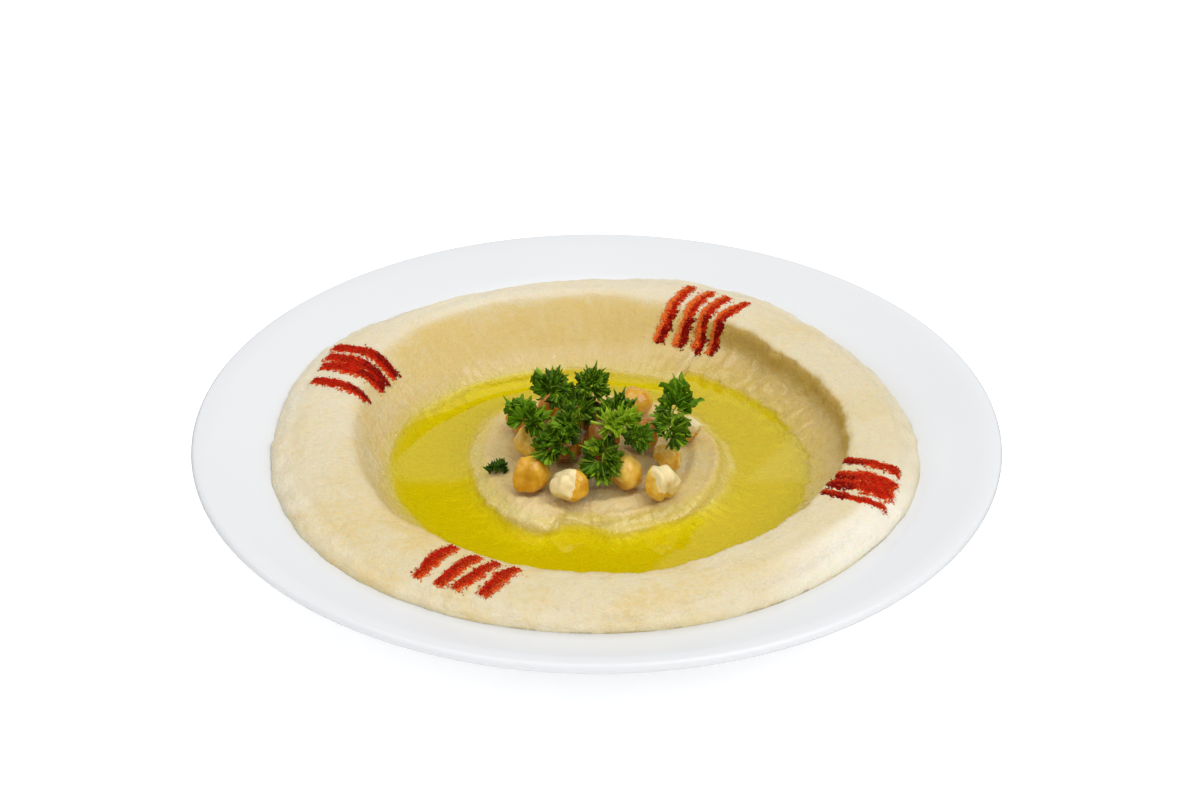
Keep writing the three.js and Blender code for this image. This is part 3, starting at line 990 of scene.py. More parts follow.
@dataclass
class Surface:
    """The hummus's upper face as a grid of places, by section round it and row across it.

    The rows' places are counted in leading points, and steep is 1 in the sections whose wall
    broke off steeply and 0 in those that the spoon swept.
    """

    spots: np.ndarray
    degrees: np.ndarray
    place: np.ndarray
    steep: np.ndarray

    @property
    def angle(self) -> np.ndarray:
        """Returns every place's bearing."""
        return self.degrees[:, None] + 0 * self.spots[..., 0]

    @property
    def radius(self) -> np.ndarray:
        """Returns how far every place is from the plate's axis."""
        return np.hypot(self.spots[..., 0], self.spots[..., 1])

    @property
    def downhill(self) -> np.ndarray:
        """Returns places for noise that is drawn out down the wall, as a spoon leaves it."""
        return on_circle(self.angle, 64, 0.33 * self.spots[..., 2])

    def zone(self, zone: Zone) -> np.ndarray:
        """Returns 1 on a zone's rows, fading to 0 outside it."""
        return band(*zone.value, self.place)[None]

    def side(self, side: Side) -> np.ndarray:
        """Returns 1 at a side's bearing, fading to 0 away from it."""
        return side.at(self.angle)

    def raised(self, out: np.ndarray) -> np.ndarray:
        """Moves the surface outwards.

        Args:
            out: Millimetres along the normal, by section and row.

        Returns:
            The new places.
        """
        along = np.roll(self.spots, -1, 0) - np.roll(self.spots, 1, 0)
        normal = np.cross(np.gradient(self.spots, axis=1), along)
        normal[:, -1] = (0, 0, -1)
        normal /= np.linalg.norm(normal, axis=-1, keepdims=True) + 1e-12
        if normal[0, len(self.place) // 4, 2] < 0:
            normal = -normal
        spots = self.spots + normal * out[..., None]
        spots[:, -1] = spots[:, -2].mean(0) * (0, 0, 1)
        return spots


@dataclass(frozen=True)
class ShellMap:
    """What each vertex of the hummus's shell stands for: a section and row, or the underside."""

    column: np.ndarray
    row: np.ndarray
    below: np.ndarray
    share: np.ndarray


@dataclass
class HummusSpread:
    """The hummus: a ring, a moat's bed and an island, with stripes of paprika on the ring.

    The seam is the bearing where the ring's sweep ends in a torn step, and wall_shore the
    leading point at the oil's shore on the ring's wall. The edge's points are millimetres in
    from the edge and above the plate, and the crown's the share of the way to the crest and
    millimetres below the ring's top.
    """

    plate: Plate
    gap: float = 0.06
    ring_top: float = 28.0
    oil_level: float = 14.0
    wall_shore: int = 9
    moat_depth: float = 3.5
    seam: float = 62.5
    seam_step: float = 7.5
    seam_fade: float = 75.0
    lip_offset: float = 1.0
    lip_width: float = 0.75
    lump: float = 0.5
    undercut: float = 0.3
    island_height: float = 16.6
    island_swell: float = 1.3
    swirl_pitch: float = 6.0
    swirl_depth: float = 0.55
    powder_depth: float = 0.4
    noise_radius: float = 95.0
    columns: int = 600
    rows_per_mm: float = 1.22
    base_rows: int = 9
    edge_points: tuple[tuple[float, float], ...] = ((0.0, 0.0), (0.7, 1.3), (3.0, 2.9))
    crown_points: tuple[tuple[float, float], ...] = ((0.32, 1.1), (0.55, 0.2), (0.8, 0.0))
    dome_shares: tuple[float, ...] = (0.86, 0.6, 0.3, 0.0)
    bends: tuple[Bend, ...] = (
        Bend(-0.05, -0.6, 27.0, 27.4), Bend(0.22, 0.2, 24.2, 25.0), Bend(0.62, 1.0, 19.0, 19.0))
    outer_edge: dict[float, float] = field(default_factory=lambda: {
        0: 95.5, 30: 95.2, 65: 98.4, 109: 95.2, 147: 99.4, 173: 97, 223: 98.2, 282: 96, 316: 95, 338: 97})
    crest: dict[float, float] = field(default_factory=lambda: {
        0: 74, 45: 72.4, 75: 75.5, 100: 79, 135: 79.2, 180: 72.6, 225: 72.8, 270: 75, 315: 73})
    swept_shore: dict[float, float] = field(default_factory=lambda: {
        60: 53.7, 107: 55.6, 135: 59.2, 157: 62.4, 200: 62, 260: 61.5, 300: 61.5, 340: 62.6})
    steepness: dict[float, float] = field(default_factory=lambda: {
        0: 1, 55: 0.9, 80: 0.1, 130: 0, 190: 0.15, 240: 0.5, 290: 0.8})
    island_edge: dict[float, float] = field(default_factory=lambda: {
        0: 40, 40: 40, 90: 41, 140: 42, 166: 38.8, 200: 36.5, 234: 39.4, 246: 38.6, 255: 33,
        268: 31.9, 280: 35.8, 300: 35.7, 321: 38.1, 342: 39.7})
    groups: tuple[StripeGroup, ...] = (
        StripeGroup((89.3, 88.1), (66.0, 69.0),
                    ((70, 73), (65.6, 67.7), (61.6, 63), (57.2, 59.2)),
                    (4.5, 4.6, 4.3, 3.8), dust=1.0, deep=0.85),
        StripeGroup((94.2, 90.2), (72.5, 71.9),
                    ((149.7, 149.2), (153.6, 154.3), (157.1, 156.5), (162.8, 165.3)),
                    (5.4, 6.2, 6.2, 5.0), dust=0.0, deep=1.0),
        StripeGroup((91.3, 91.0), (75.2, 77.9),
                    ((236.9, 237.7), (241.5, 244.1), (244.8, 249.1), (249.9, 253.4)),
                    (4.7, 4.7, 4.5, 4.9), dust=0.35, deep=0.1),
        StripeGroup((91.3, 92.5), (74.9, 74.4),
                    ((344.8, 345.3), (340.2, 338.9), (337.5, 335.1), (333.4, 330.9)),
                    (4.2, 6.6, 6.6, 3.2), dust=0.22, deep=1.0),
    )

    def __post_init__(self) -> None:
        """Draws the noises that make the surface uneven, and lays the stripes out."""
        self.soft = Noise(11)
        self.fine = Noise(23)
        self.ragged = Noise(37)
        self.stripes = [stripe for group in self.groups for stripe in group.stripes()]

    def shores(self, degrees: np.ndarray) -> tuple[np.ndarray, np.ndarray]:
        """Works out where the oil ends on the ring's wall and on the island.

        Args:
            degrees: The bearings to work out.

        Returns:
            The radius of each shore at each bearing.
        """
        behind = np.mod(self.seam - degrees, TURN)
        tear = np.where(behind > TURN / 2, 0.0, np.exp(-((behind / self.seam_fade) ** 2)))
        wall = around(self.swept_shore, degrees) + self.seam_step * tear + lumps(degrees, 4, 0.6 * self.lump)
        island = around(self.island_edge, degrees) + lumps(degrees, 3, 0.6 * self.lump)
        return wall, island

    def leads(self, degrees: np.ndarray) -> np.ndarray:
        """Returns the points that lead the hummus's section at each bearing.

        Args:
            degrees: The bearings of the sections.

        Returns:
            Radius and height by section and point, from the outer edge to the middle.
        """
        spots = on_circle(degrees, self.noise_radius, 0 * degrees)
        steep = around(self.steepness, degrees)
        edge = around(self.outer_edge, degrees) + lumps(degrees, 1, 0.3 * self.lump)
        edge = edge + Grain.OUTER_EDGE.on(self.ragged, spots)
        crest = around(self.crest, degrees) + lumps(degrees, 2, self.lump)
        crest = crest + steep * Grain.CREST.on(self.ragged, spots + 50)
        shore, island = self.shores(degrees)
        shore = shore + (0.15 + 0.6 * steep) * Grain.SHORE.on(self.ragged, spots + 90)
        island = island + Grain.ISLAND_SHORE.on(self.ragged, spots * 0.45 + 130)
        foot = self.plate.top(edge) + self.gap
        flat = np.ones_like(degrees)

        def bend(shape: Bend) -> tuple[np.ndarray, np.ndarray]:
            """Returns a bend's radius and height in each section."""
            swept = mix(crest, shore, shape.swept)
            return mix(swept, crest - shape.steep, steep), mix(shape.swept_height, shape.steep_height, steep)

        top, oil, bed = self.ring_top, self.oil_level, self.oil_level - self.moat_depth
        ring = [(edge - inwards, foot + rise) for inwards, rise in self.edge_points]
        ring += [(mix(edge, crest, share), (top - drop) * flat) for share, drop in self.crown_points]
        wall = [bend(shape) for shape in self.bends]
        moat = [(shore, oil * flat), (shore - 2.4, (oil - 2.0) * flat), (shore - 6.0, bed * flat)]
        bank = mix(3.5, 2.3, Side.TORN_SHORE.at(degrees))
        moat += [(island + 7.0, bed * flat), (island + bank, (oil - 2.3) * flat), (island, oil * flat)]
        dome = [(island - 2.2, (self.island_height - 1.0) * flat)]
        for share in self.dome_shares:
            dome.append((share * island, (self.island_height + self.island_swell * (1 - share**2)) * flat))
        return np.stack([np.stack(point, -1) for point in ring + wall + moat + dome], 1)

    def strand(self, leads: np.ndarray) -> tuple[np.ndarray, np.ndarray]:
        """Draws a smooth line through each section's leading points.

        Args:
            leads: Radius and height by section and point.

        Returns:
            Radius and height by section and row, and each row's place among the leading points.
        """
        first = 2 * leads[:, :1] - leads[:, 1:2]
        last = 2 * leads[:, -1:] - leads[:, -2:-1]
        points = np.concatenate([first, leads, last], 1)
        rows, place = [], []
        count = leads.shape[1] - 1
        for i in range(count):
            a, b, c, d = (points[:, i + k] for k in range(4))
            length = float(np.mean(np.linalg.norm(c - b, axis=-1)))
            steps = max(2, round(length * self.rows_per_mm))
            knots = [np.zeros(len(a))]
            for low, high in ((a, b), (b, c), (c, d)):
                knots.append(knots[-1] + np.sqrt(np.linalg.norm(high - low, axis=-1)) + 1e-6)
            t0, t1, t2, t3 = (knot[:, None] for knot in knots)
            for step in range(steps + (i == count - 1)):
                t = mix(t1, t2, step / steps)
                a1 = mix(a, b, (t - t0) / (t1 - t0))
                a2 = mix(b, c, (t - t1) / (t2 - t1))
                a3 = mix(c, d, (t - t2) / (t3 - t2))
                b1 = mix(a1, a2, (t - t0) / (t2 - t0))
                b2 = mix(a2, a3, (t - t1) / (t3 - t1))
                rows.append(mix(b1, b2, (t - t1) / (t2 - t1)))
                place.append(i + step / steps)
        return np.stack(rows, 1), np.array(place)

    def relief(self, skin: Surface) -> np.ndarray:
        """Works out how far the paste stands out from its smooth form.

        Args:
            skin: The smooth surface.

        Returns:
            Millimetres outwards along the surface's normal, by section and row.
        """
        spots, steep = skin.spots, skin.steep
        side, crown = skin.zone(Zone.SIDE), skin.zone(Zone.CROWN)
        wall, foot = skin.zone(Zone.WALL), skin.zone(Zone.FOOT)
        left = 0.5 + 0.5 * np.cos(np.radians(skin.angle - 200))
        right = ease(-0.2, 0.9, np.cos(np.radians(skin.angle - 15)))
        rings = np.stack([np.radians(skin.angle) * skin.radius * 0.1, skin.radius, 0 * skin.radius], -1)
        pits = ease(0.42, 0.75, self.fine.at(spots, 2.1))
        ledge = np.clip(self.ragged.at(spots * np.array([1, 1, 2.5]), 3.4), 0, 1)
        out = (Grain.SWELL.on(self.soft, spots) + Grain.LUMP.on(self.soft, spots)) * (crown + side)
        out = out + Grain.PASTE.on(self.fine, spots)
        out = out + (0.17 + 0.16 * right) * Grain.BRUSHED.on(self.soft, rings) * (crown + 0.5 * side)
        out = out - 0.45 * pits * crown * (0.25 + left)
        out = out + Grain.STIPPLE.on(self.ragged, spots) * skin.zone(Zone.STIPPLE) * left**2
        out = out + Grain.COARSE_SIDE.on(self.ragged, spots) * side
        out = out + Grain.STREAK.on(self.fine, skin.downhill) * wall * (1.1 - 0.8 * left)
        out = out + steep * Grain.BROKEN_WALL.on(self.ragged, spots) * wall
        out = out + steep * (Grain.BROKEN_FOOT.on(self.ragged, spots) + 0.35 * ledge) * foot
        out = out + (0.15 + Grain.LIP.on(self.fine, spots)) * self.lip(skin) * skin.zone(Zone.LIP)
        paste = Grain.ISLAND_SOFT.on(self.soft, spots) + Grain.ISLAND_FINE.on(self.fine, spots)
        return out + (self.swirl(skin) + paste) * skin.zone(Zone.ISLAND)

    def lip(self, skin: Surface) -> np.ndarray:
        """Returns 1 along the torn edge beside the seam and 0 away from it."""
        wandering = skin.angle + 0.7 * self.soft.at(skin.spots, 3.0)
        return toward(wandering, self.seam + self.lip_offset, self.lip_width)

    def swirl(self, skin: Surface) -> np.ndarray:
        """Works out the island's relief: the spoon's ridges, and the torn lobe at the front.

        Args:
            skin: The smooth surface.

        Returns:
            Millimetres outwards, by section and row.
        """
        radius = skin.radius
        wander = Grain.WANDER.on(self.soft, skin.spots)
        wave = 2 * math.pi * (radius + wander) / self.swirl_pitch + np.radians(skin.angle)
        ridge = (0.5 + 0.5 * np.cos(wave)) ** 1.6 * 2 - 0.8
        clear = 0.35 + 0.65 * ease(-0.4, 0.8, np.cos(np.radians(skin.angle - 335)))
        along = np.stack([0.25 * wave, radius, 0 * radius], -1)
        out = self.swirl_depth * ridge * clear * ease(8, 20, radius)
        out = out + Grain.RIDGE.on(self.ragged, along) * clear
        lobe = skin.side(Side.LOBE) * band(24, 38, 3, radius)
        out = out + lobe * (0.9 + Grain.LOBE.on(self.ragged, skin.spots))
        return out - 0.5 * skin.side(Side.CUT) * band(25, 36, 4, radius)

    def paprika(self, spots: np.ndarray) -> dict[str, np.ndarray]:
        """Works out where the powder lies.

        Args:
            spots: Places of the surface in millimetres.

        Returns:
            "paprika", from 1 in the middle of a stripe through 0 at its edge, "dust" where
            the powder is thin and orange, and "deep" where it is thick and dark.
        """
        most = np.full(spots.shape[:-1], -1.0)
        dust, deep = np.zeros_like(most), np.zeros_like(most)
        shake = Grain.POWDER_EDGE.on(self.fine, spots)
        for stripe in self.stripes:
            t, beside, length = stripe.across(spots[..., :2])
            half = 0.5 * stripe.width * (0.72 + 0.28 * np.sin(np.pi * np.clip(mix(0.1, 0.9, t), 0, 1)))
            off = (beside + 0.3 * np.sin(7 * t + stripe.outer[0]) + shake) / half
            ends = (np.minimum(t, 1 - t) * length + 0.8 * shake) / half + 0.3
            inside = np.clip(np.minimum(1 - np.abs(off), ends), -1, 1)
            here = inside > most
            thin = stripe.dust * (ease(-0.45, 0.6, -off) + 0.5 * (1 - ease(0, 0.2, t)))
            dust = np.where(here, np.clip(thin, 0, 1), dust)
            deep = np.where(here, stripe.deep * ease(0.45, 0.8, t) * ease(-0.5, 0.2, off), deep)
            most = np.maximum(most, inside)
        return {"paprika": most, "dust": dust, "deep": deep}

    def tints(self, skin: Surface) -> dict[str, np.ndarray]:
        """Works out the paste's tints.

        Args:
            skin: The finished surface.

        Returns:
            How tan, yellow with oil, darkened by painted shade, lightened by painted light and highlights,
            and wet the paste is, by section and row.
        """
        steep = skin.steep
        rise = mix(ease(4.4, 7.6, skin.place)[None], ease(5.9, 6.8, skin.place)[None], steep)
        wall = rise * (1 - ease(9.2, 9.9, skin.place))[None]
        island = skin.zone(Zone.ISLAND_TOP)
        streaks = self.fine.rough(skin.downhill, 1.7, 3)
        # Painted shade: brown under the steep wall's brow, on the island round the foot of the pile, and on
        # the far wall.
        shade = steep * (0.36 * skin.zone(Zone.BROW) + 0.24 * skin.zone(Zone.UNDER_BROW))
        shade = shade + 0.16 * island * (1 - ease(19, 27, skin.radius)) + 0.24 * skin.side(Side.SHADED) * wall
        return {
            "tan": self.tan(skin, wall, island, streaks),
            "yellow": skin.zone(Zone.OILED) * (1 - 0.35 * steep * skin.zone(Zone.OVER_OIL)),
            "shade": shade,
            "pale": self.pale(skin, wall, island, streaks),
            "wet": np.clip(skin.zone(Zone.WET) + 0.25 * island + 0.5 * steep * wall, 0, 1),
        }

    def tan(self, skin: Surface, wall: np.ndarray, island: np.ndarray, streaks: np.ndarray) -> np.ndarray:
        """Works out how tan the paste is.

        Args:
            skin: The finished surface.
            wall: 1 on the ring's wall.
            island: 1 on the island.
            streaks: The wall's streaks.

        Returns:
            The share of tan, by section and row.
        """
        left, front = skin.side(Side.LEFT), skin.side(Side.FRONT)
        # Painted light: less tan on the left wall and on the island's front, where less light falls.
        on_wall = 0.85 - 0.34 * left + 0.42 * skin.steep + 0.16 * streaks
        on_island = 0.82 - 0.3 * front + 0.16 * left - 0.25 * skin.side(Side.RIGHT)
        on_ring = 0.08 * front + 0.27 * skin.side(Side.TANNED)
        everywhere = 0.17 + 0.17 * self.soft.rough(skin.spots, 22, 3)
        return everywhere + on_wall * wall + on_island * island + on_ring * (1 - wall)

    def pale(self, skin: Surface, wall: np.ndarray, island: np.ndarray, streaks: np.ndarray) -> np.ndarray:
        """Works out how pale the paste is, mostly as painted light and highlights.

        Args:
            skin: The finished surface.
            wall: 1 on the ring's wall.
            island: 1 on the island.
            streaks: The wall's streaks.

        Returns:
            The share of pale, by section and row.
        """
        left, radius = skin.side(Side.LEFT), skin.radius
        # Painted light along the outer edge, painted sheen on the ring's far side and a painted highlight on
        # its right edge; the ring is also lighter on the left.
        pale = 0.35 * skin.zone(Zone.EDGE_LIGHT) * (0.6 + 0.5 * self.fine.at(skin.spots, 6))
        pale = pale + 0.5 * skin.side(Side.HAZY) * skin.zone(Zone.RING_LIGHT)
        pale = pale + 0.9 * skin.side(Side.BRIGHT) * skin.zone(Zone.SIDE_LIGHT) + 0.1 * left * (1 - wall)
        # The wall: lighter on the left as painted light, and its paler streaks, which are its own colour.
        pale = pale + (0.08 * left + 0.12 * np.clip(streaks, 0, 1)) * wall
        # Painted light along the far wall's foot and on the torn edge by the seam.
        pale = pale + 0.06 * skin.side(Side.BEHIND) * skin.zone(Zone.FOOT_LIGHT)
        pale = pale + 0.2 * self.lip(skin) * skin.zone(Zone.LIP_LIGHT)
        # The island: a little lighter at the front and on its lobe, and painted light in front of the pile.
        on_island = 0.04 * skin.side(Side.FRONT) + 0.2 * skin.side(Side.LOBE_LIGHT) * band(26, 39, 3, radius)
        return pale + (on_island + 0.13 * skin.side(Side.BEFORE_PILE) * (1 - ease(24, 31, radius))) * island

    def shell(self, rows: int) -> tuple[bpy.types.Object, ShellMap]:
        """Spins a flat shell whose radii count the rows of the hummus's section.

        Args:
            rows: How many rows the section has.

        Returns:
            The shell, and what each of its vertices stands for.
        """
        last = rows - 1
        profile = [(float(i), 0.0) for i in range(rows)]
        profile += [(last * (1 - i / self.base_rows), -1.0) for i in range(self.base_rows + 1)]
        hummus = spun("hummus_spread", profile, self.columns)
        places = places_of(hummus)
        reach = np.hypot(places[:, 0], places[:, 1])
        bearing = np.degrees(np.arctan2(places[:, 1], places[:, 0]))
        column = np.round(bearing / (TURN / self.columns)).astype(int) % self.columns
        row = last - np.clip(np.round(reach), 0, last).astype(int)
        return hummus, ShellMap(column, row, places[:, 2] < -0.5, reach / last)

    def surface(self) -> Surface:
        """Shapes the smooth surface, then raises its relief and the powder on it.

        Returns:
            The finished surface.
        """
        degrees = np.arange(self.columns) * TURN / self.columns
        line, place = self.strand(self.leads(degrees))
        spots = on_circle(degrees[:, None], line[..., 0], line[..., 1])
        spots[:, -1] = (0.0, 0.0, spots[:, -1, 2].mean())
        skin = Surface(spots, degrees, place, np.clip(around(self.steepness, degrees), 0, 1)[:, None])
        self.powder = self.paprika(spots)
        heap = self.powder_depth * ease(-0.05, 0.35, self.powder["paprika"])
        out = self.relief(skin) + heap * (1 + Grain.POWDER_TOP.on(self.fine, spots))
        rows = len(place)
        out = out * ease(0, 1.2, place)[None] * (1 - ease(rows - 3, rows - 1, np.arange(rows)))[None]
        skin.spots = skin.raised(out)
        return skin

    def build(self) -> bpy.types.Object:
        """Spins the shell, shapes it to the hummus and stores what its finish reads.

        Returns:
            The hummus.
        """
        self.skin = self.surface()
        hummus, shell = self.shell(len(self.skin.place))
        places = self.skin.spots[shell.column, shell.row]
        under = shell.column[shell.below]
        reach = shell.share[shell.below] * (self.skin.radius[under, 0] - self.undercut)
        places[shell.below] = on_circle(self.skin.degrees[under], reach, self.plate.top(reach) + self.gap)
        move_to(hummus, places)
        for name, value in {**self.tints(self.skin), **self.powder}.items():
            flat = (value + 0 * self.skin.angle)[shell.column, shell.row]
            flat[shell.below] = -1.0 if name == "paprika" else 0.0
            set_values(hummus, **{name: flat})
        shade_smooth(hummus, 75)
        hummus.data.materials.append(HummusFinish().material())
        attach(hummus, "root")
        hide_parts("hummus")
        return hummus


# ---- The oil ----


@dataclass
class OilPool:
    """The moat's olive oil. Its bed and banks reach a little way into the hummus.

    Against the far wall it stands a little higher: lift and lift_reach are by how much and how
    far from the wall, in all of that stretch and in its broad middle. Each stretch is a bearing
    and how many degrees it fades over.
    """

    spread: HummusSpread
    overlap: float = 1.3
    depth_in: float = 0.9
    meniscus: float = 0.1
    lift: tuple[float, float] = (0.6, 0.9)
    lift_reach: tuple[float, float] = (7.5, 9.0)
    lift_stretch: tuple[float, float] = (112.0, 52.0)
    broad_stretch: tuple[float, float] = (132.0, 34.0)
    lift_bend: float = 1.35
    tube_radius: float = 50.0
    steps: int = 360

    def section(self, degrees: np.ndarray) -> np.ndarray:
        """Draws the pool's section.

        Args:
            degrees: The bearings of the sections.

        Returns:
            Radius and height by section and point, from the outer bank inwards and back below.
        """
        wall, island = self.spread.shores(degrees)
        level = self.spread.oil_level
        bed = level - self.spread.moat_depth - self.depth_in
        bead, low_bead, foot_bead = (self.meniscus * share for share in (1.0, 0.6, 0.12))
        broad = toward(degrees, *self.broad_stretch, power=4)
        lift = mix(*self.lift, broad) * toward(degrees, *self.lift_stretch, power=4)
        reach = mix(*self.lift_reach, broad)
        outer, inner = wall + self.overlap, island - self.overlap
        points = [(outer, level + bead + lift), (wall + 0.1, level + low_bead + lift)]
        points.append((wall - 0.8, level + foot_bead + 0.9 * lift))
        for share in (0.25, 0.5, 0.75, 1.0):
            points.append((wall - share * reach, level + lift * (1 - share) ** self.lift_bend))
        points += [(mix(wall - reach, island + 2.0, i / 4), level) for i in range(1, 5)]
        points += [(island + 0.8, level + foot_bead), (island - 0.1, level + low_bead), (inner, level + bead)]
        points += [(inner, level - 0.8), (island + 2.4, level - 3.0), (island + 7.0, bed)]
        points += [(wall - 6.0, bed), (wall - 1.6, level - 3.0), (outer, level - 0.8)]
        return np.stack([np.stack(np.broadcast_arrays(r, z), -1) for r, z in points], 1)

    def build(self) -> bpy.types.Object:
        """Shapes a ring to the pool's section all the way round and fills it with oil.

        Returns:
            The oil.
        """
        degrees = np.arange(self.steps) * TURN / self.steps
        section = self.section(degrees)
        count = section.shape[1]
        deselect_all()
        bpy.ops.mesh.primitive_torus_add(major_segments=self.steps, minor_segments=count,
                                         major_radius=self.tube_radius * MM, minor_radius=4 * MM)
        oil = settle("oil_pool")
        places = places_of(oil)
        out = np.hypot(places[:, 0], places[:, 1]) - self.tube_radius
        column = np.round(np.degrees(np.arctan2(places[:, 1], places[:, 0])) * self.steps / TURN).astype(int)
        row = np.round(np.degrees(np.arctan2(places[:, 2], out)) * count / TURN).astype(int)
        spot = section[column % self.steps, row % count]
        move_to(oil, on_circle(degrees[column % self.steps], spot[:, 0], spot[:, 1]))
        bpy.ops.object.mode_set(mode="EDIT")
        bpy.ops.mesh.select_all(action="SELECT")
        bpy.ops.mesh.normals_make_consistent(inside=False)
        bpy.ops.object.mode_set(mode="OBJECT")
        shade_smooth(oil, 40)
        oil.data.materials.append(OilFinish().material())
        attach(oil, "root")
        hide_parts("oil")
        return oil


# ---- The chickpeas ----


class Split(Enum):
    """Which way the skinless side of a chickpea faces, if it has one."""

    NONE = (0.0, 0.0, 0.0)
    LEFT = (-0.85, -0.25, 0.45)
    RIGHT = (0.72, -0.15, 0.67)
    TOP = (0.45, -0.35, 0.82)


@dataclass
class Chickpea:
    """One cooked chickpea with a beak, a groove and perhaps a split skin.

    It lies on its side, its beak turned and tipped by so many degrees. Size is its share of the
    radius, and cleft how deep its groove is.
    """

    number: int
    at: tuple[float, float]
    turn: float
    tip: float
    size: float
    cleft: float
    finish: ChickpeaFinish
    split: Split = Split.NONE
    radius: float = 5.2
    fullness: float = 1.05
    flatness: float = 0.94
    beak: float = 0.28
    sharpness: float = 9.0
    groove: float = 0.22
    skin: float = 0.03
    flats: int = 10
    flat_softness: float = 0.07
    # The way the lit side faces: the side turned away gets painted shade.
    up: tuple[float, float, float] = (0.25, -0.1, 0.96)

    def stance(self) -> np.ndarray:
        """Returns the turn that lays the chickpea the way its solid lies."""
        turn = Euler((0, math.radians(-self.tip), math.radians(self.turn)), "XYZ")
        return np.array(turn.to_matrix()).T

    def facets(self, way: np.ndarray) -> np.ndarray:
        """Cuts a few flats into the ball, where it lay against its neighbours.

        Args:
            way: The ball's vertices, on a radius of one.

        Returns:
            How far each vertex moves out, none of them above 0.
        """
        draw = np.random.default_rng(300 + self.number)
        cut = np.zeros(len(way))
        for _ in range(self.flats):
            normal = draw.normal(size=3)
            over = way @ (normal / np.linalg.norm(normal)) - draw.uniform(0.72, 0.88)
            cut = np.minimum(cut, -0.5 * (over + np.sqrt(over**2 + self.flat_softness**2)))
        return cut

    def bare(self, way: np.ndarray, rough: Noise) -> np.ndarray:
        """Works out where the skin has split off.

        Args:
            way: The ball's vertices, on a radius of one.
            rough: The noise that frays the split's edge.

        Returns:
            1 where the skin is off and 0 where it is on.
        """
        if self.split is Split.NONE:
            return np.zeros(len(way))
        facing = way @ self.stance() @ np.array(self.split.value)
        return ease(0.12, 0.20, facing + 0.16 * rough.rough(way, 0.7, 3))

    def build(self, material: bpy.types.Material) -> bpy.types.Object:
        """Shapes a ball into the chickpea and lays it where its solid lies.

        Args:
            material: Its finish's material.

        Returns:
            The chickpea.
        """
        deselect_all()
        bpy.ops.mesh.primitive_ico_sphere_add(subdivisions=5, radius=MM)
        pea = settle(f"chickpea_cooked_{self.number}")
        way = places_of(pea)
        rough = Noise(100 + self.number)
        beak = self.beak * np.maximum(0, way[:, 0]) ** self.sharpness
        groove = np.exp(-((way[:, 1] / self.groove) ** 2)) * np.maximum(0, 0.4 + 0.6 * way[:, 0])
        blocky = 0.11 * rough.at(way, 1.1) - 0.05 * np.abs(rough.at(way + 7, 0.7))
        blocky = blocky + 0.022 * rough.rough(way, 0.4, 2) + self.facets(way)
        bare = self.bare(way, rough)
        out = self.fullness + beak - self.cleft * groove + blocky - self.skin * bare
        place = way * (self.radius * self.size * out)[:, None] * np.array([1, 1, self.flatness])
        place = place @ self.stance()
        low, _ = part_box(f"chickpea_{self.number}")
        place = place + np.array([*self.at, low.z / MM - place[:, 2].min()])
        # Painted shade, stored as low: darker on the side turned away from up.
        facing = way @ self.stance() @ np.array(self.up)
        underside_shade = 0.7 * (1 - ease(-0.75, 0.35, facing + 0.25 * rough.at(way, 0.9)))
        set_values(pea, groove=0.75 * groove * min(1.0, self.cleft * 5), bare=bare, low=underside_shade)
        move_to(pea, place)
        shade_smooth(pea, 80)
        pea.data.materials.append(material)
        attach(pea, "root")
        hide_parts(f"chickpea_{self.number}")
        return pea


# ---- The parsley ----


class Cut(Enum):
    """How a leaflet is cut: lobes, grid columns a lobe, grid rows, teeth a lobe, lobe depth."""

    RUFFLE = (3, 9, 7, 3, 0.38)
    PINNA = (3, 12, 9, 3, 0.48)


@dataclass(frozen=True)
class Blade:
    """A leaflet's grid, vertex by vertex.

    Across runs from -1 to 1 over its width, and out from 0 at its stalk to 1 at its edge. Lobe
    and tooth are 1 at the tip of a lobe or a tooth and 0 between two.
    """

    across: np.ndarray
    out: np.ndarray
    lobe: np.ndarray
    tooth: np.ndarray


@dataclass(frozen=True)
class Shoot:
    """Where a leaflet grows on its leaf: millimetres along and beside it, and degrees."""

    along: float
    beside: float
    bearing: float
    reach: float
    rise: float
    cut: Cut


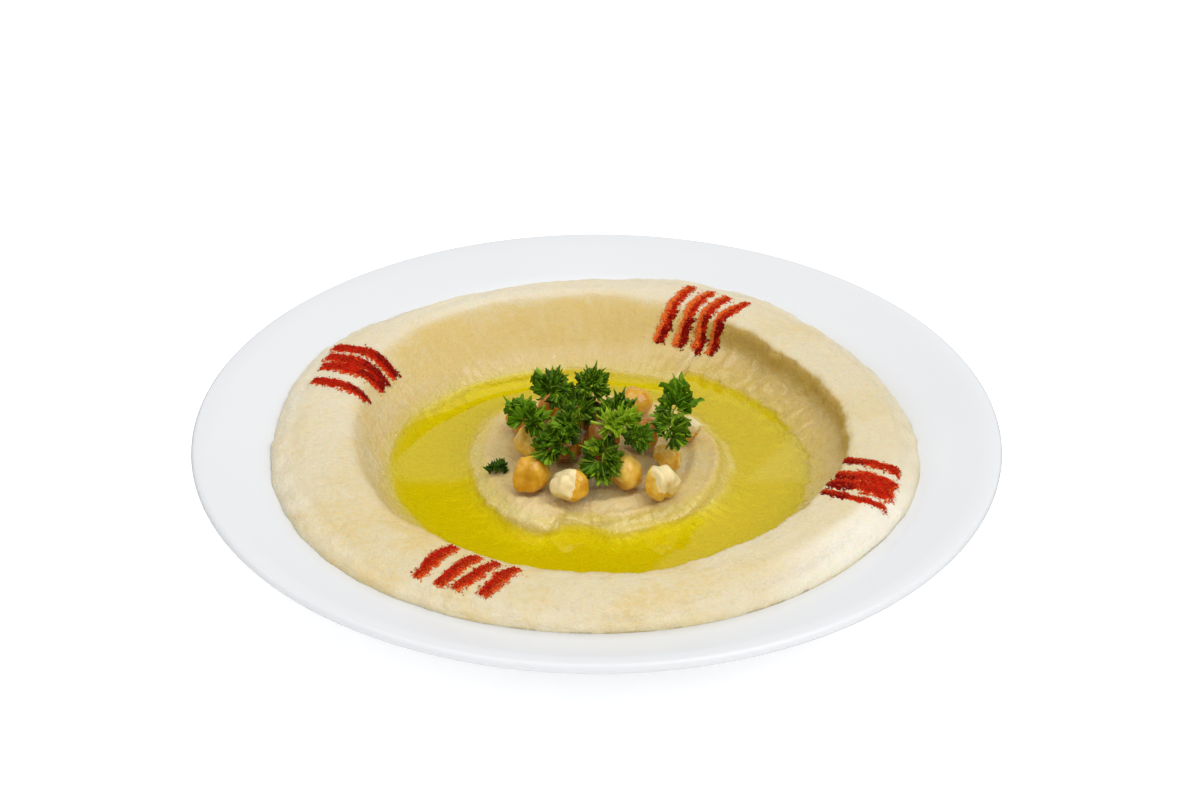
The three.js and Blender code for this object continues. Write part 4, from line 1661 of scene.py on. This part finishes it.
@dataclass
class Frond:
    """One curly parsley leaf: many small toothed, ruffled leaflets round a thin midrib.

    It heads, climbs and rolls by so many degrees, and arc bends it sideways. The heart is the
    middle of its leaflets, as a share of its size. The pinnae are the longer leaflets that show
    its outline: how far along the leaf each pair grows, at what angle, and how long it is.
    """

    number: int
    at: tuple[float, float]
    heading: float
    pitch: float
    roll: float
    size: float
    finish: LeafFinish
    stem: float = 0.0
    arc: float = 0.0
    leaflets: int = 13
    curl: float = 0.5
    fan: float = 62.0
    thickness: float = 0.24
    young: float = 0.16
    heart: float = 0.34
    breadth: tuple[float, float] = (0.30, 0.27)
    pinnae: tuple[tuple[float, float, float], ...] = (
        (0.10, 125.0, 0.44), (0.20, 82.0, 0.51), (0.40, 48.0, 0.54), (0.55, 0.0, 0.55))

    def shoots(self, draw: np.random.Generator) -> list[Shoot]:
        """Spreads the leaflets over the leaf, the outer ones low and long, the inner ones upright.

        Args:
            draw: The source of their unevenness.

        Returns:
            Where each leaflet grows.
        """
        shoots = []
        for i in range(self.leaflets):
            out = math.sqrt((i + 0.5) / self.leaflets)
            bearing = GOLDEN_ANGLE * i + draw.uniform(-20, 20)
            along = self.heart + self.breadth[0] * out * math.cos(math.radians(bearing))
            beside = self.breadth[1] * out * math.sin(math.radians(bearing))
            reach = mix(0.39, 0.48, out) * draw.uniform(0.8, 1.15)
            aim = 0.78 * float(apart(bearing, 0.0)) + draw.uniform(-24, 24)
            rise = mix(66, 2, out**1.4) + draw.uniform(-14, 22)
            length = reach * self.size
            shoots.append(Shoot(along * self.size, beside * self.size, aim, length, rise, Cut.RUFFLE))
        for along, bearing, reach in self.pinnae:
            for side in (1, -1) if bearing else (1,):
                aim = side * bearing + draw.uniform(-14, 14)
                start = (self.heart - 0.34 + along) * self.size
                length = reach * draw.uniform(0.85, 1.12) * self.size
                rise = draw.uniform(0, 42)
                shoots.append(Shoot(start, 0.03 * side * self.size, aim, length, rise, Cut.PINNA))
        return shoots

    def leaflet(self, draw: np.random.Generator, shoot: Shoot, order: int) -> bpy.types.Object:
        """Shapes a flat grid into one ruffled fan with pointed teeth, growing along +X.

        Args:
            draw: The source of the leaflet's unevenness.
            shoot: Where the leaflet grows and how big it is.
            order: The leaflet's number in its leaf.

        Returns:
            The leaflet where it grows on the leaf, with its ribs stored.
        """
        deselect_all()
        lobes, columns, rows, teeth, _ = shoot.cut.value
        bpy.ops.mesh.primitive_grid_add(x_subdivisions=lobes * columns, y_subdivisions=rows, size=2 * MM)
        leaf = settle(f"leaflet_{self.number}_{order}")
        grid = places_of(leaf)
        share, out = (grid[:, 0] + 1) / 2, np.clip(0.5 + 0.5 * grid[:, 1], 0, 1)
        blade = Blade(grid[:, 0], out, zigzag(share * lobes), zigzag(share * (lobes * teeth)))
        flat = self.ruffled(draw, shoot, blade)
        jitter = Noise(500 + 40 * self.number + order)
        flat = flat + 0.35 * np.stack([jitter.at(flat + 9 * k, 1.8) for k in range(3)], -1) * out[:, None]
        set_values(leaf, **self.veined(draw, shoot, blade))
        lean = math.radians(draw.uniform(-60, 60))
        turn = Euler((lean, math.radians(-shoot.rise), math.radians(shoot.bearing)), "XYZ").to_matrix()
        start = np.array([shoot.along, shoot.beside + self.arc * shoot.along**2, 0.3 * draw.random()])
        move_to(leaf, flat @ np.array(turn).T + start)
        finish_with(leaf, "SOLIDIFY", thickness=self.thickness * MM, offset=0.0)
        return leaf

    def ruffled(self, draw: np.random.Generator, shoot: Shoot, blade: Blade) -> np.ndarray:
        """Cuts and ruffles a leaflet.

        Args:
            draw: The source of its unevenness.
            shoot: How it is cut and how big it is.
            blade: Its grid.

        Returns:
            The places of its vertices, its stalk at the origin.
        """
        u, v, lobe, tooth = blade.across, blade.out, blade.lobe, blade.tooth
        lobes, *_, depth = shoot.cut.value
        edge = (1 - depth + depth * lobe) * (0.76 + 0.24 * tooth) * (0.70 + 0.30 * np.cos(1.5 * u))
        r = shoot.reach * v * mix(0.6, edge, v**2)
        angle = u * math.radians(self.fan) * draw.uniform(0.75, 1.15)
        pleat = 0.16 * (lobe - 0.5) * v + 0.10 * (tooth - 0.5) * v
        pleat = pleat + 0.16 * np.sin(2.4 * lobes * u + draw.uniform(0, math.tau)) * v**2
        twist = draw.uniform(-0.5, 0.5)
        bend = draw.uniform(-1.0, 0.7) * self.curl
        cup = draw.uniform(-0.3, 0.5)
        z = shoot.reach * (pleat + twist * u * v**1.5 + bend * v**2 + cup * u**2 * v)
        return np.stack([r * np.cos(angle), r * np.sin(angle), z], -1)

    def veined(self, draw: np.random.Generator, shoot: Shoot, blade: Blade) -> dict[str, np.ndarray]:
        """Works out a leaflet's tints.

        Args:
            draw: The source of its unevenness.
            shoot: How steeply it rises.
            blade: Its grid.

        Returns:
            The rib value on its pale ribs, with painted highlights at the tips of its teeth and lobes; the
            valley value, painted shade between its teeth; and its tone, lighter as painted light where the
            leaflet stands up and towards its edge.
        """
        v, lobe, tooth = blade.out, blade.lobe, blade.tooth
        young = draw.random() < self.young
        # Painted highlight at the tips of the teeth and lobes; the pale stalk end and young leaflets are
        # their own colour.
        rib = (0.7 * tooth**5 + 0.6 * lobe**8) * ease(0.05, 0.3, v) * (1 - 0.5 * v)
        rib = rib + 0.7 * (1 - ease(0.0, 0.25, v)) + 0.35 * young
        # Random tone and young leaflets are their own colour; lighter for upright leaflets and towards the
        # edge is painted light.
        tone = draw.uniform(-0.35, 0.75) + 0.35 * ease(20, 60, shoot.rise) + 0.3 * (v - 0.5) + 0.3 * young
        # Painted shade in the valleys between the teeth.
        valley = 0.8 * (1 - tooth) ** 2 * ease(0.0, 0.5, v)
        return {"rib": np.clip(rib, 0, 1), "valley": valley, "tone": tone}

    def rod(self, name: str, start: float, end: float, thick: float) -> bpy.types.Object:
        """Draws a thin bent rod along the leaf's own X axis.

        Args:
            name: The rod's name.
            start: Where it starts, in millimetres along X.
            end: Where it ends.
            thick: Its radius.

        Returns:
            The rod, with its rib value stored.
        """
        deselect_all()
        bpy.ops.mesh.primitive_cylinder_add(vertices=8, radius=thick * MM, depth=(end - start) * MM)
        rod = settle(name)
        bpy.ops.object.mode_set(mode="EDIT")
        bpy.ops.mesh.select_all(action="SELECT")
        bpy.ops.mesh.subdivide(number_cuts=3)
        bpy.ops.object.mode_set(mode="OBJECT")
        place = places_of(rod)
        along = place[:, 2] + (start + end) / 2
        sag = 0.02 * np.minimum(along, 0) ** 2 + self.arc * along**2
        taper = 1 - 0.35 * ease(start, end, along)
        move_to(rod, np.stack([along, place[:, 1] * taper + sag, place[:, 0] * taper], -1))
        set_values(rod, rib=1.0, valley=0.0, tone=1.0)
        return rod

    def build(self, material: bpy.types.Material) -> bpy.types.Object:
        """Builds the leaflets, midrib and stem and lays them where the leaf's solid lies.

        Args:
            material: Its finish's material.

        Returns:
            The leaf.
        """
        draw = np.random.default_rng(900 + self.number)
        parts = [self.leaflet(draw, shoot, order) for order, shoot in enumerate(self.shoots(draw))]
        parts.append(self.rod(f"midrib_{self.number}", -0.05 * self.size, 0.55 * self.size, 0.3))
        if self.stem:
            parts.append(self.rod(f"stem_{self.number}", -self.stem, 1.0, 0.55))
        pick(*parts)
        bpy.ops.object.join()
        frond = settle(f"curly_parsley_{self.number}")
        turn = Euler((math.radians(self.roll), math.radians(-self.pitch), math.radians(self.heading)), "XYZ")
        place = places_of(frond) @ np.array(turn.to_matrix()).T
        low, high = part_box(f"parsley_{self.number}")
        middle = (low.z + high.z) / 2 / MM - (place[:, 2].min() + place[:, 2].max()) / 2
        move_to(frond, place + np.array([*self.at, middle]))
        shade_smooth(frond, 60)
        frond.data.materials.append(material)
        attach(frond, "root")
        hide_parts(f"parsley_{self.number}")
        return frond


# ---- The paprika ----


@dataclass
class PaprikaPowder:
    """Loose grains on and round the stripes, a few of them strayed further off."""

    spread: HummusSpread
    grains: int = 4200
    smallest: float = 0.10
    largest: float = 0.34
    strayed: float = 0.045
    scatter: float = 0.23
    stray_scatter: float = 0.6

    def build(self) -> bpy.types.Object:
        """Repeats one grain, then scatters the copies over the stripes and a little beyond.

        Returns:
            The grains.
        """
        deselect_all()
        bpy.ops.mesh.primitive_ico_sphere_add(subdivisions=1, radius=MM)
        powder = settle("paprika_grains")
        corners = len(powder.data.vertices)
        finish_with(powder, "ARRAY", count=self.grains, use_relative_offset=False,
                    use_constant_offset=True, constant_offset_displace=(0.01, 0, 0))
        draw = np.random.default_rng(71)
        flat, size, tone = self.scattered(draw)
        shape = draw.uniform(0.6, 1.25, (self.grains, 1, 3))
        turns = (Euler(draw.uniform(0, math.tau, 3)).to_matrix() for _ in range(self.grains))
        turn = np.array([np.array(matrix) for matrix in turns])
        grain = (places_of(powder)[:corners] * shape) @ turn * size[:, None]
        spot = np.concatenate([flat, self.ground(flat)[:, None] + 0.35 * size], 1)
        move_to(powder, (grain + spot[:, None]).reshape(-1, 3))
        tone = np.clip(tone + draw.normal(0.0, 0.18, self.grains), 0, 1)
        set_values(powder, tone=np.repeat(tone, corners))
        powder.data.materials.append(PowderFinish().material())
        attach(powder, "root")
        return powder

    def scattered(self, draw: np.random.Generator) -> tuple[np.ndarray, np.ndarray, np.ndarray]:
        """Scatters the grains along the stripes.

        Args:
            draw: The source of the scatter.

        Returns:
            Each grain's place seen from above, its size, and how orange it is.
        """
        lines = self.spread.stripes
        chosen = [lines[i] for i in draw.integers(0, len(lines), self.grains)]
        outer, inner = (np.array([getattr(line, end) for line in chosen]) for end in ("outer", "inner"))
        width, dust = (np.array([getattr(line, name) for line in chosen]) for name in ("width", "dust"))
        t = draw.beta(1.0, 1.0, self.grains) * 1.04 - 0.02
        far = draw.random(self.grains) < self.strayed
        off = draw.normal(0, np.where(far, self.stray_scatter, self.scatter), self.grains)
        way = inner - outer
        across = np.stack([-way[:, 1], way[:, 0]], -1) / np.linalg.norm(way, axis=1)[:, None]
        flat = outer + way * t[:, None] + across * (off * width)[:, None]
        size = draw.uniform(self.smallest, self.largest, (self.grains, 1)) * np.where(far, 0.7, 1.0)[:, None]
        tone = (0.12 + 0.5 * dust) * np.abs(off) + dust * np.maximum(0, 0.35 - 1.8 * off)
        return flat, size, tone

    def ground(self, flat: np.ndarray) -> np.ndarray:
        """Reads how high the hummus's ring is.

        Args:
            flat: The places, seen from above.

        Returns:
            The height at each place.
        """
        skin = self.spread.skin
        ring = int(np.argmax(skin.place > self.spread.wall_shore))
        bearing = np.mod(np.degrees(np.arctan2(flat[:, 1], flat[:, 0])), TURN)
        column = np.round(bearing / skin.degrees[1]).astype(int) % len(skin.degrees)
        radii = skin.radius[column, :ring]
        row = np.argmin(np.abs(radii - np.hypot(flat[:, 0], flat[:, 1])[:, None]), axis=1)
        return skin.spots[column, row, 2]


# ---- Surroundings ----


@dataclass(frozen=True)
class Lamp:
    """A soft lamp: a glowing rectangle, placed in metres. A mirror_only one is seen only in gloss."""

    name: str
    at: tuple[float, float, float]
    aim: tuple[float, float, float]
    size: tuple[float, float]
    glow: float
    roll: float = 0.0
    mirror_only: bool = False

    def build(self) -> bpy.types.Object:
        """Makes the lamp, aimed and sized.

        Returns:
            The lamp.
        """
        data = bpy.data.lights.new(self.name, "AREA")
        data.shape = "RECTANGLE"
        data.size, data.size_y = self.size
        data.energy = self.glow * math.pi * self.size[0] * self.size[1]
        lamp = bpy.data.objects.new(self.name, data)
        bpy.context.collection.objects.link(lamp)
        lamp.rotation_mode = "QUATERNION"
        facing = (Vector(self.aim) - Vector(self.at)).to_track_quat("-Z", "Y").to_matrix().to_4x4()
        spin = Matrix.Rotation(math.radians(self.roll), 4, "Z")
        lamp.matrix_world = Matrix.Translation(self.at) @ facing @ spin
        lamp.visible_camera = False
        lamp.visible_diffuse = not self.mirror_only
        return lamp


@dataclass
class Studio:
    """A white table, soft lamps and the camera, placed in metres."""

    table_glow: float = 0.35
    ambient: float = 0.5
    target: tuple[float, float, float] = (0.0, 0.0, 0.028)
    elevation: float = 32.1
    distance: float = 0.9
    lens: float = 90.75
    sensor: float = 36.0
    shift: tuple[float, float] = (0.0028, 0.021)
    lamps: tuple[Lamp, ...] = (
        Lamp("key", (0.8, -0.45, 1.4), (0, 0, 0), (1.1, 1.1), 2.7),
        Lamp("overhead", (-0.1, 0.0, 1.5), (0, 0, 0), (1.3, 1.3), 1.45),
        Lamp("fill", (-0.6, -0.95, 1.1), (0, 0, 0), (1.4, 1.0), 0.75),
        Lamp("glint", (-1.35, 0.35, 1.0), (0, 0, 0), (0.4, 0.4), 2.6, mirror_only=True),
        Lamp("backdrop", (0.0, 1.5, 0.5), (0, 0, 0.5), (4.4, 1.0), 0.5, mirror_only=True),
        Lamp("side", (0.31, 1.49, 1.248), (0.31, 0, 1.248), (0.6, 0.6), 0.44, roll=-40.5, mirror_only=True),
    )

    def table(self) -> bpy.types.Object:
        """Lays a wide white table under the plate.

        Returns:
            The table.
        """
        deselect_all()
        bpy.ops.mesh.primitive_plane_add(size=6.0)
        table = settle("table")
        shader = Shader("white_table")
        shader.set(Base_Color=(0.92, 0.92, 0.92, 1), Roughness=0.9, Specular_IOR_Level=0.1)
        shader.set(Emission_Color=(1, 1, 1, 1), Emission_Strength=self.table_glow)
        table.data.materials.append(shader.material)
        table.visible_glossy = False
        return table

    def camera(self) -> bpy.types.Object:
        """Sets the camera up.

        Returns:
            The camera.
        """
        data = bpy.data.cameras.new("camera")
        data.sensor_width, data.lens = self.sensor, self.lens
        data.shift_x, data.shift_y = self.shift
        data.clip_start = 0.01
        camera = bpy.data.objects.new("camera", data)
        bpy.context.collection.objects.link(camera)
        lift = math.radians(self.elevation)
        back = Vector((0.0, -math.cos(lift), math.sin(lift)))
        camera.location = Vector(self.target) + back * self.distance
        camera.rotation_euler = (math.radians(90 - self.elevation), 0.0, 0.0)
        bpy.context.scene.camera = camera
        return camera

    def air(self) -> bpy.types.World:
        """Fills the room with even white light that mirrors and the camera don't see.

        Returns:
            The world.
        """
        world = bpy.data.worlds.new("soft_air")
        world.use_nodes = True
        background = world.node_tree.nodes["Background"]
        background.inputs["Color"].default_value = (1.0, 1.0, 1.0, 1.0)
        background.inputs["Strength"].default_value = self.ambient
        world.cycles_visibility.glossy = False
        world.cycles_visibility.camera = False
        bpy.context.scene.world = world
        return world

    def build(self) -> None:
        """Sets up the table, the lamps, the air's light and the camera."""
        self.table()
        for lamp in self.lamps:
            lamp.build()
        self.air()
        self.camera()
        bpy.context.scene.view_settings.view_transform = "Standard"


# ---- The whole ----


TAN = ChickpeaFinish("chickpea_tan", (0.90, 0.62, 0.13), (0.74, 0.39, 0.015))
ORANGE = ChickpeaFinish("chickpea_orange")
BROWN = ChickpeaFinish("chickpea_brown", (0.66, 0.31, 0.03), (0.50, 0.17, 0.008))
# A darker copy of the chickpea finish: painted shade for the peas deep under the leaves.
SHADED_PEA = ChickpeaFinish("chickpea_painted_shade", (0.42, 0.17, 0.015), (0.26, 0.07, 0.004))
GREEN = LeafFinish("parsley_green")
BRIGHT = LeafFinish("parsley_bright", (0.13, 0.29, 0.004), (0.045, 0.13, 0.001), (0.34, 0.52, 0.015))
LIME = LeafFinish("parsley_lime", (0.30, 0.46, 0.010), (0.15, 0.28, 0.003), (0.48, 0.62, 0.04))
DARK = LeafFinish("parsley_dark", (0.028, 0.085, 0.002), (0.010, 0.038, 0.001), (0.08, 0.19, 0.004))

CHICKPEAS = (
    Chickpea(1, (-19.3, -18.6), 250, -30, 1.1, 0.12, ORANGE),
    Chickpea(2, (-7.7, -25), 160, 20, 1.06, 0.3, ORANGE, Split.LEFT),
    Chickpea(3, (8.3, -17.2), 60, 40, 1.1, 0.05, TAN),
    Chickpea(4, (18.9, -23.4), 300, 30, 1.14, 0.3, TAN, Split.RIGHT),
    Chickpea(5, (-19.8, -0.6), 200, 0, 0.98, 0.1, TAN),
    Chickpea(6, (-22.5, 12.1), 110, 30, 1.04, 0.1, BROWN),
    Chickpea(7, (-10.3, 8.0), 20, 50, 1.0, 0.1, ORANGE),
    Chickpea(8, (11.7, 21.5), 70, 20, 1.0, 0.12, ORANGE),
    Chickpea(9, (27.3, 8.7), 330, 10, 0.82, 0.3, TAN, Split.TOP),
    Chickpea(10, (21.1, -8.8), 140, 0, 0.84, 0.1, TAN),
    Chickpea(11, (14.2, 2.5), 10, 20, 0.98, 0.08, BROWN),
    Chickpea(12, (-9.5, -5), 280, 10, 1.02, 0.1, SHADED_PEA),
    Chickpea(13, (-13.2, 19.8), 90, 0, 0.98, 0.1, BROWN),
    Chickpea(14, (1.4, -1.0), 150, 60, 1.06, 0.1, SHADED_PEA),
    Chickpea(15, (-1.2, 14.0), 40, 10, 1.0, 0.12, BROWN),
)

FRONDS = (
    Frond(1, (-27.4, -7.6), 200, -6, 0, 6.2, DARK, leaflets=5, curl=0.15),
    Frond(2, (2, -17.2), 262, -48, 0, 12.3, GREEN, heart=0.2),
    Frond(3, (11, -13.3), 300, -30, 0, 8, GREEN),
    Frond(4, (-9.5, -13), 225, -30, 0, 12, GREEN),
    Frond(5, (-17, -3), 160, 32, 0, 12, BRIGHT, stem=6),
    Frond(6, (-5, 2), 100, 8, 0, 11, GREEN),
    Frond(7, (3, -1), 40, 12, 0, 11.5, GREEN),
    Frond(8, (21, -1.5), 45, 45, -10, 14, BRIGHT, stem=5),
    Frond(9, (22, -8), 275, -35, 0, 10, GREEN),
    Frond(10, (-7, -10.5), 195, -14, 0, 9.6, GREEN, heart=0.2),
    Frond(11, (5, -11.5), 20, 0, 0, 11, LIME, stem=6, arc=0.07, leaflets=9, heart=0.12),
    Frond(12, (-11.3, 6.8), 125, 24, 0, 11, GREEN),
    Frond(13, (-1.5, 6.6), 85, 16, 0, 9.5, GREEN),
)


def note(obj: bpy.types.Object) -> None:
    """Logs a finished piece and its size."""
    LOG.info("%s: %d faces", obj.name, len(obj.data.polygons))


def main() -> None:
    """Builds the plate of hummus piece by piece."""
    logging.basicConfig(level=logging.INFO, format="%(message)s")
    plate = Plate()
    note(plate.build())
    spread = HummusSpread(plate)
    note(spread.build())
    note(OilPool(spread).build())
    note(PaprikaPowder(spread).build())
    garnish = CHICKPEAS + FRONDS
    materials = {finish: finish.material() for finish in dict.fromkeys(piece.finish for piece in garnish)}
    for piece in garnish:
        note(piece.build(materials[piece.finish]))
    Studio().build()


if __name__ == "__main__":
    main()
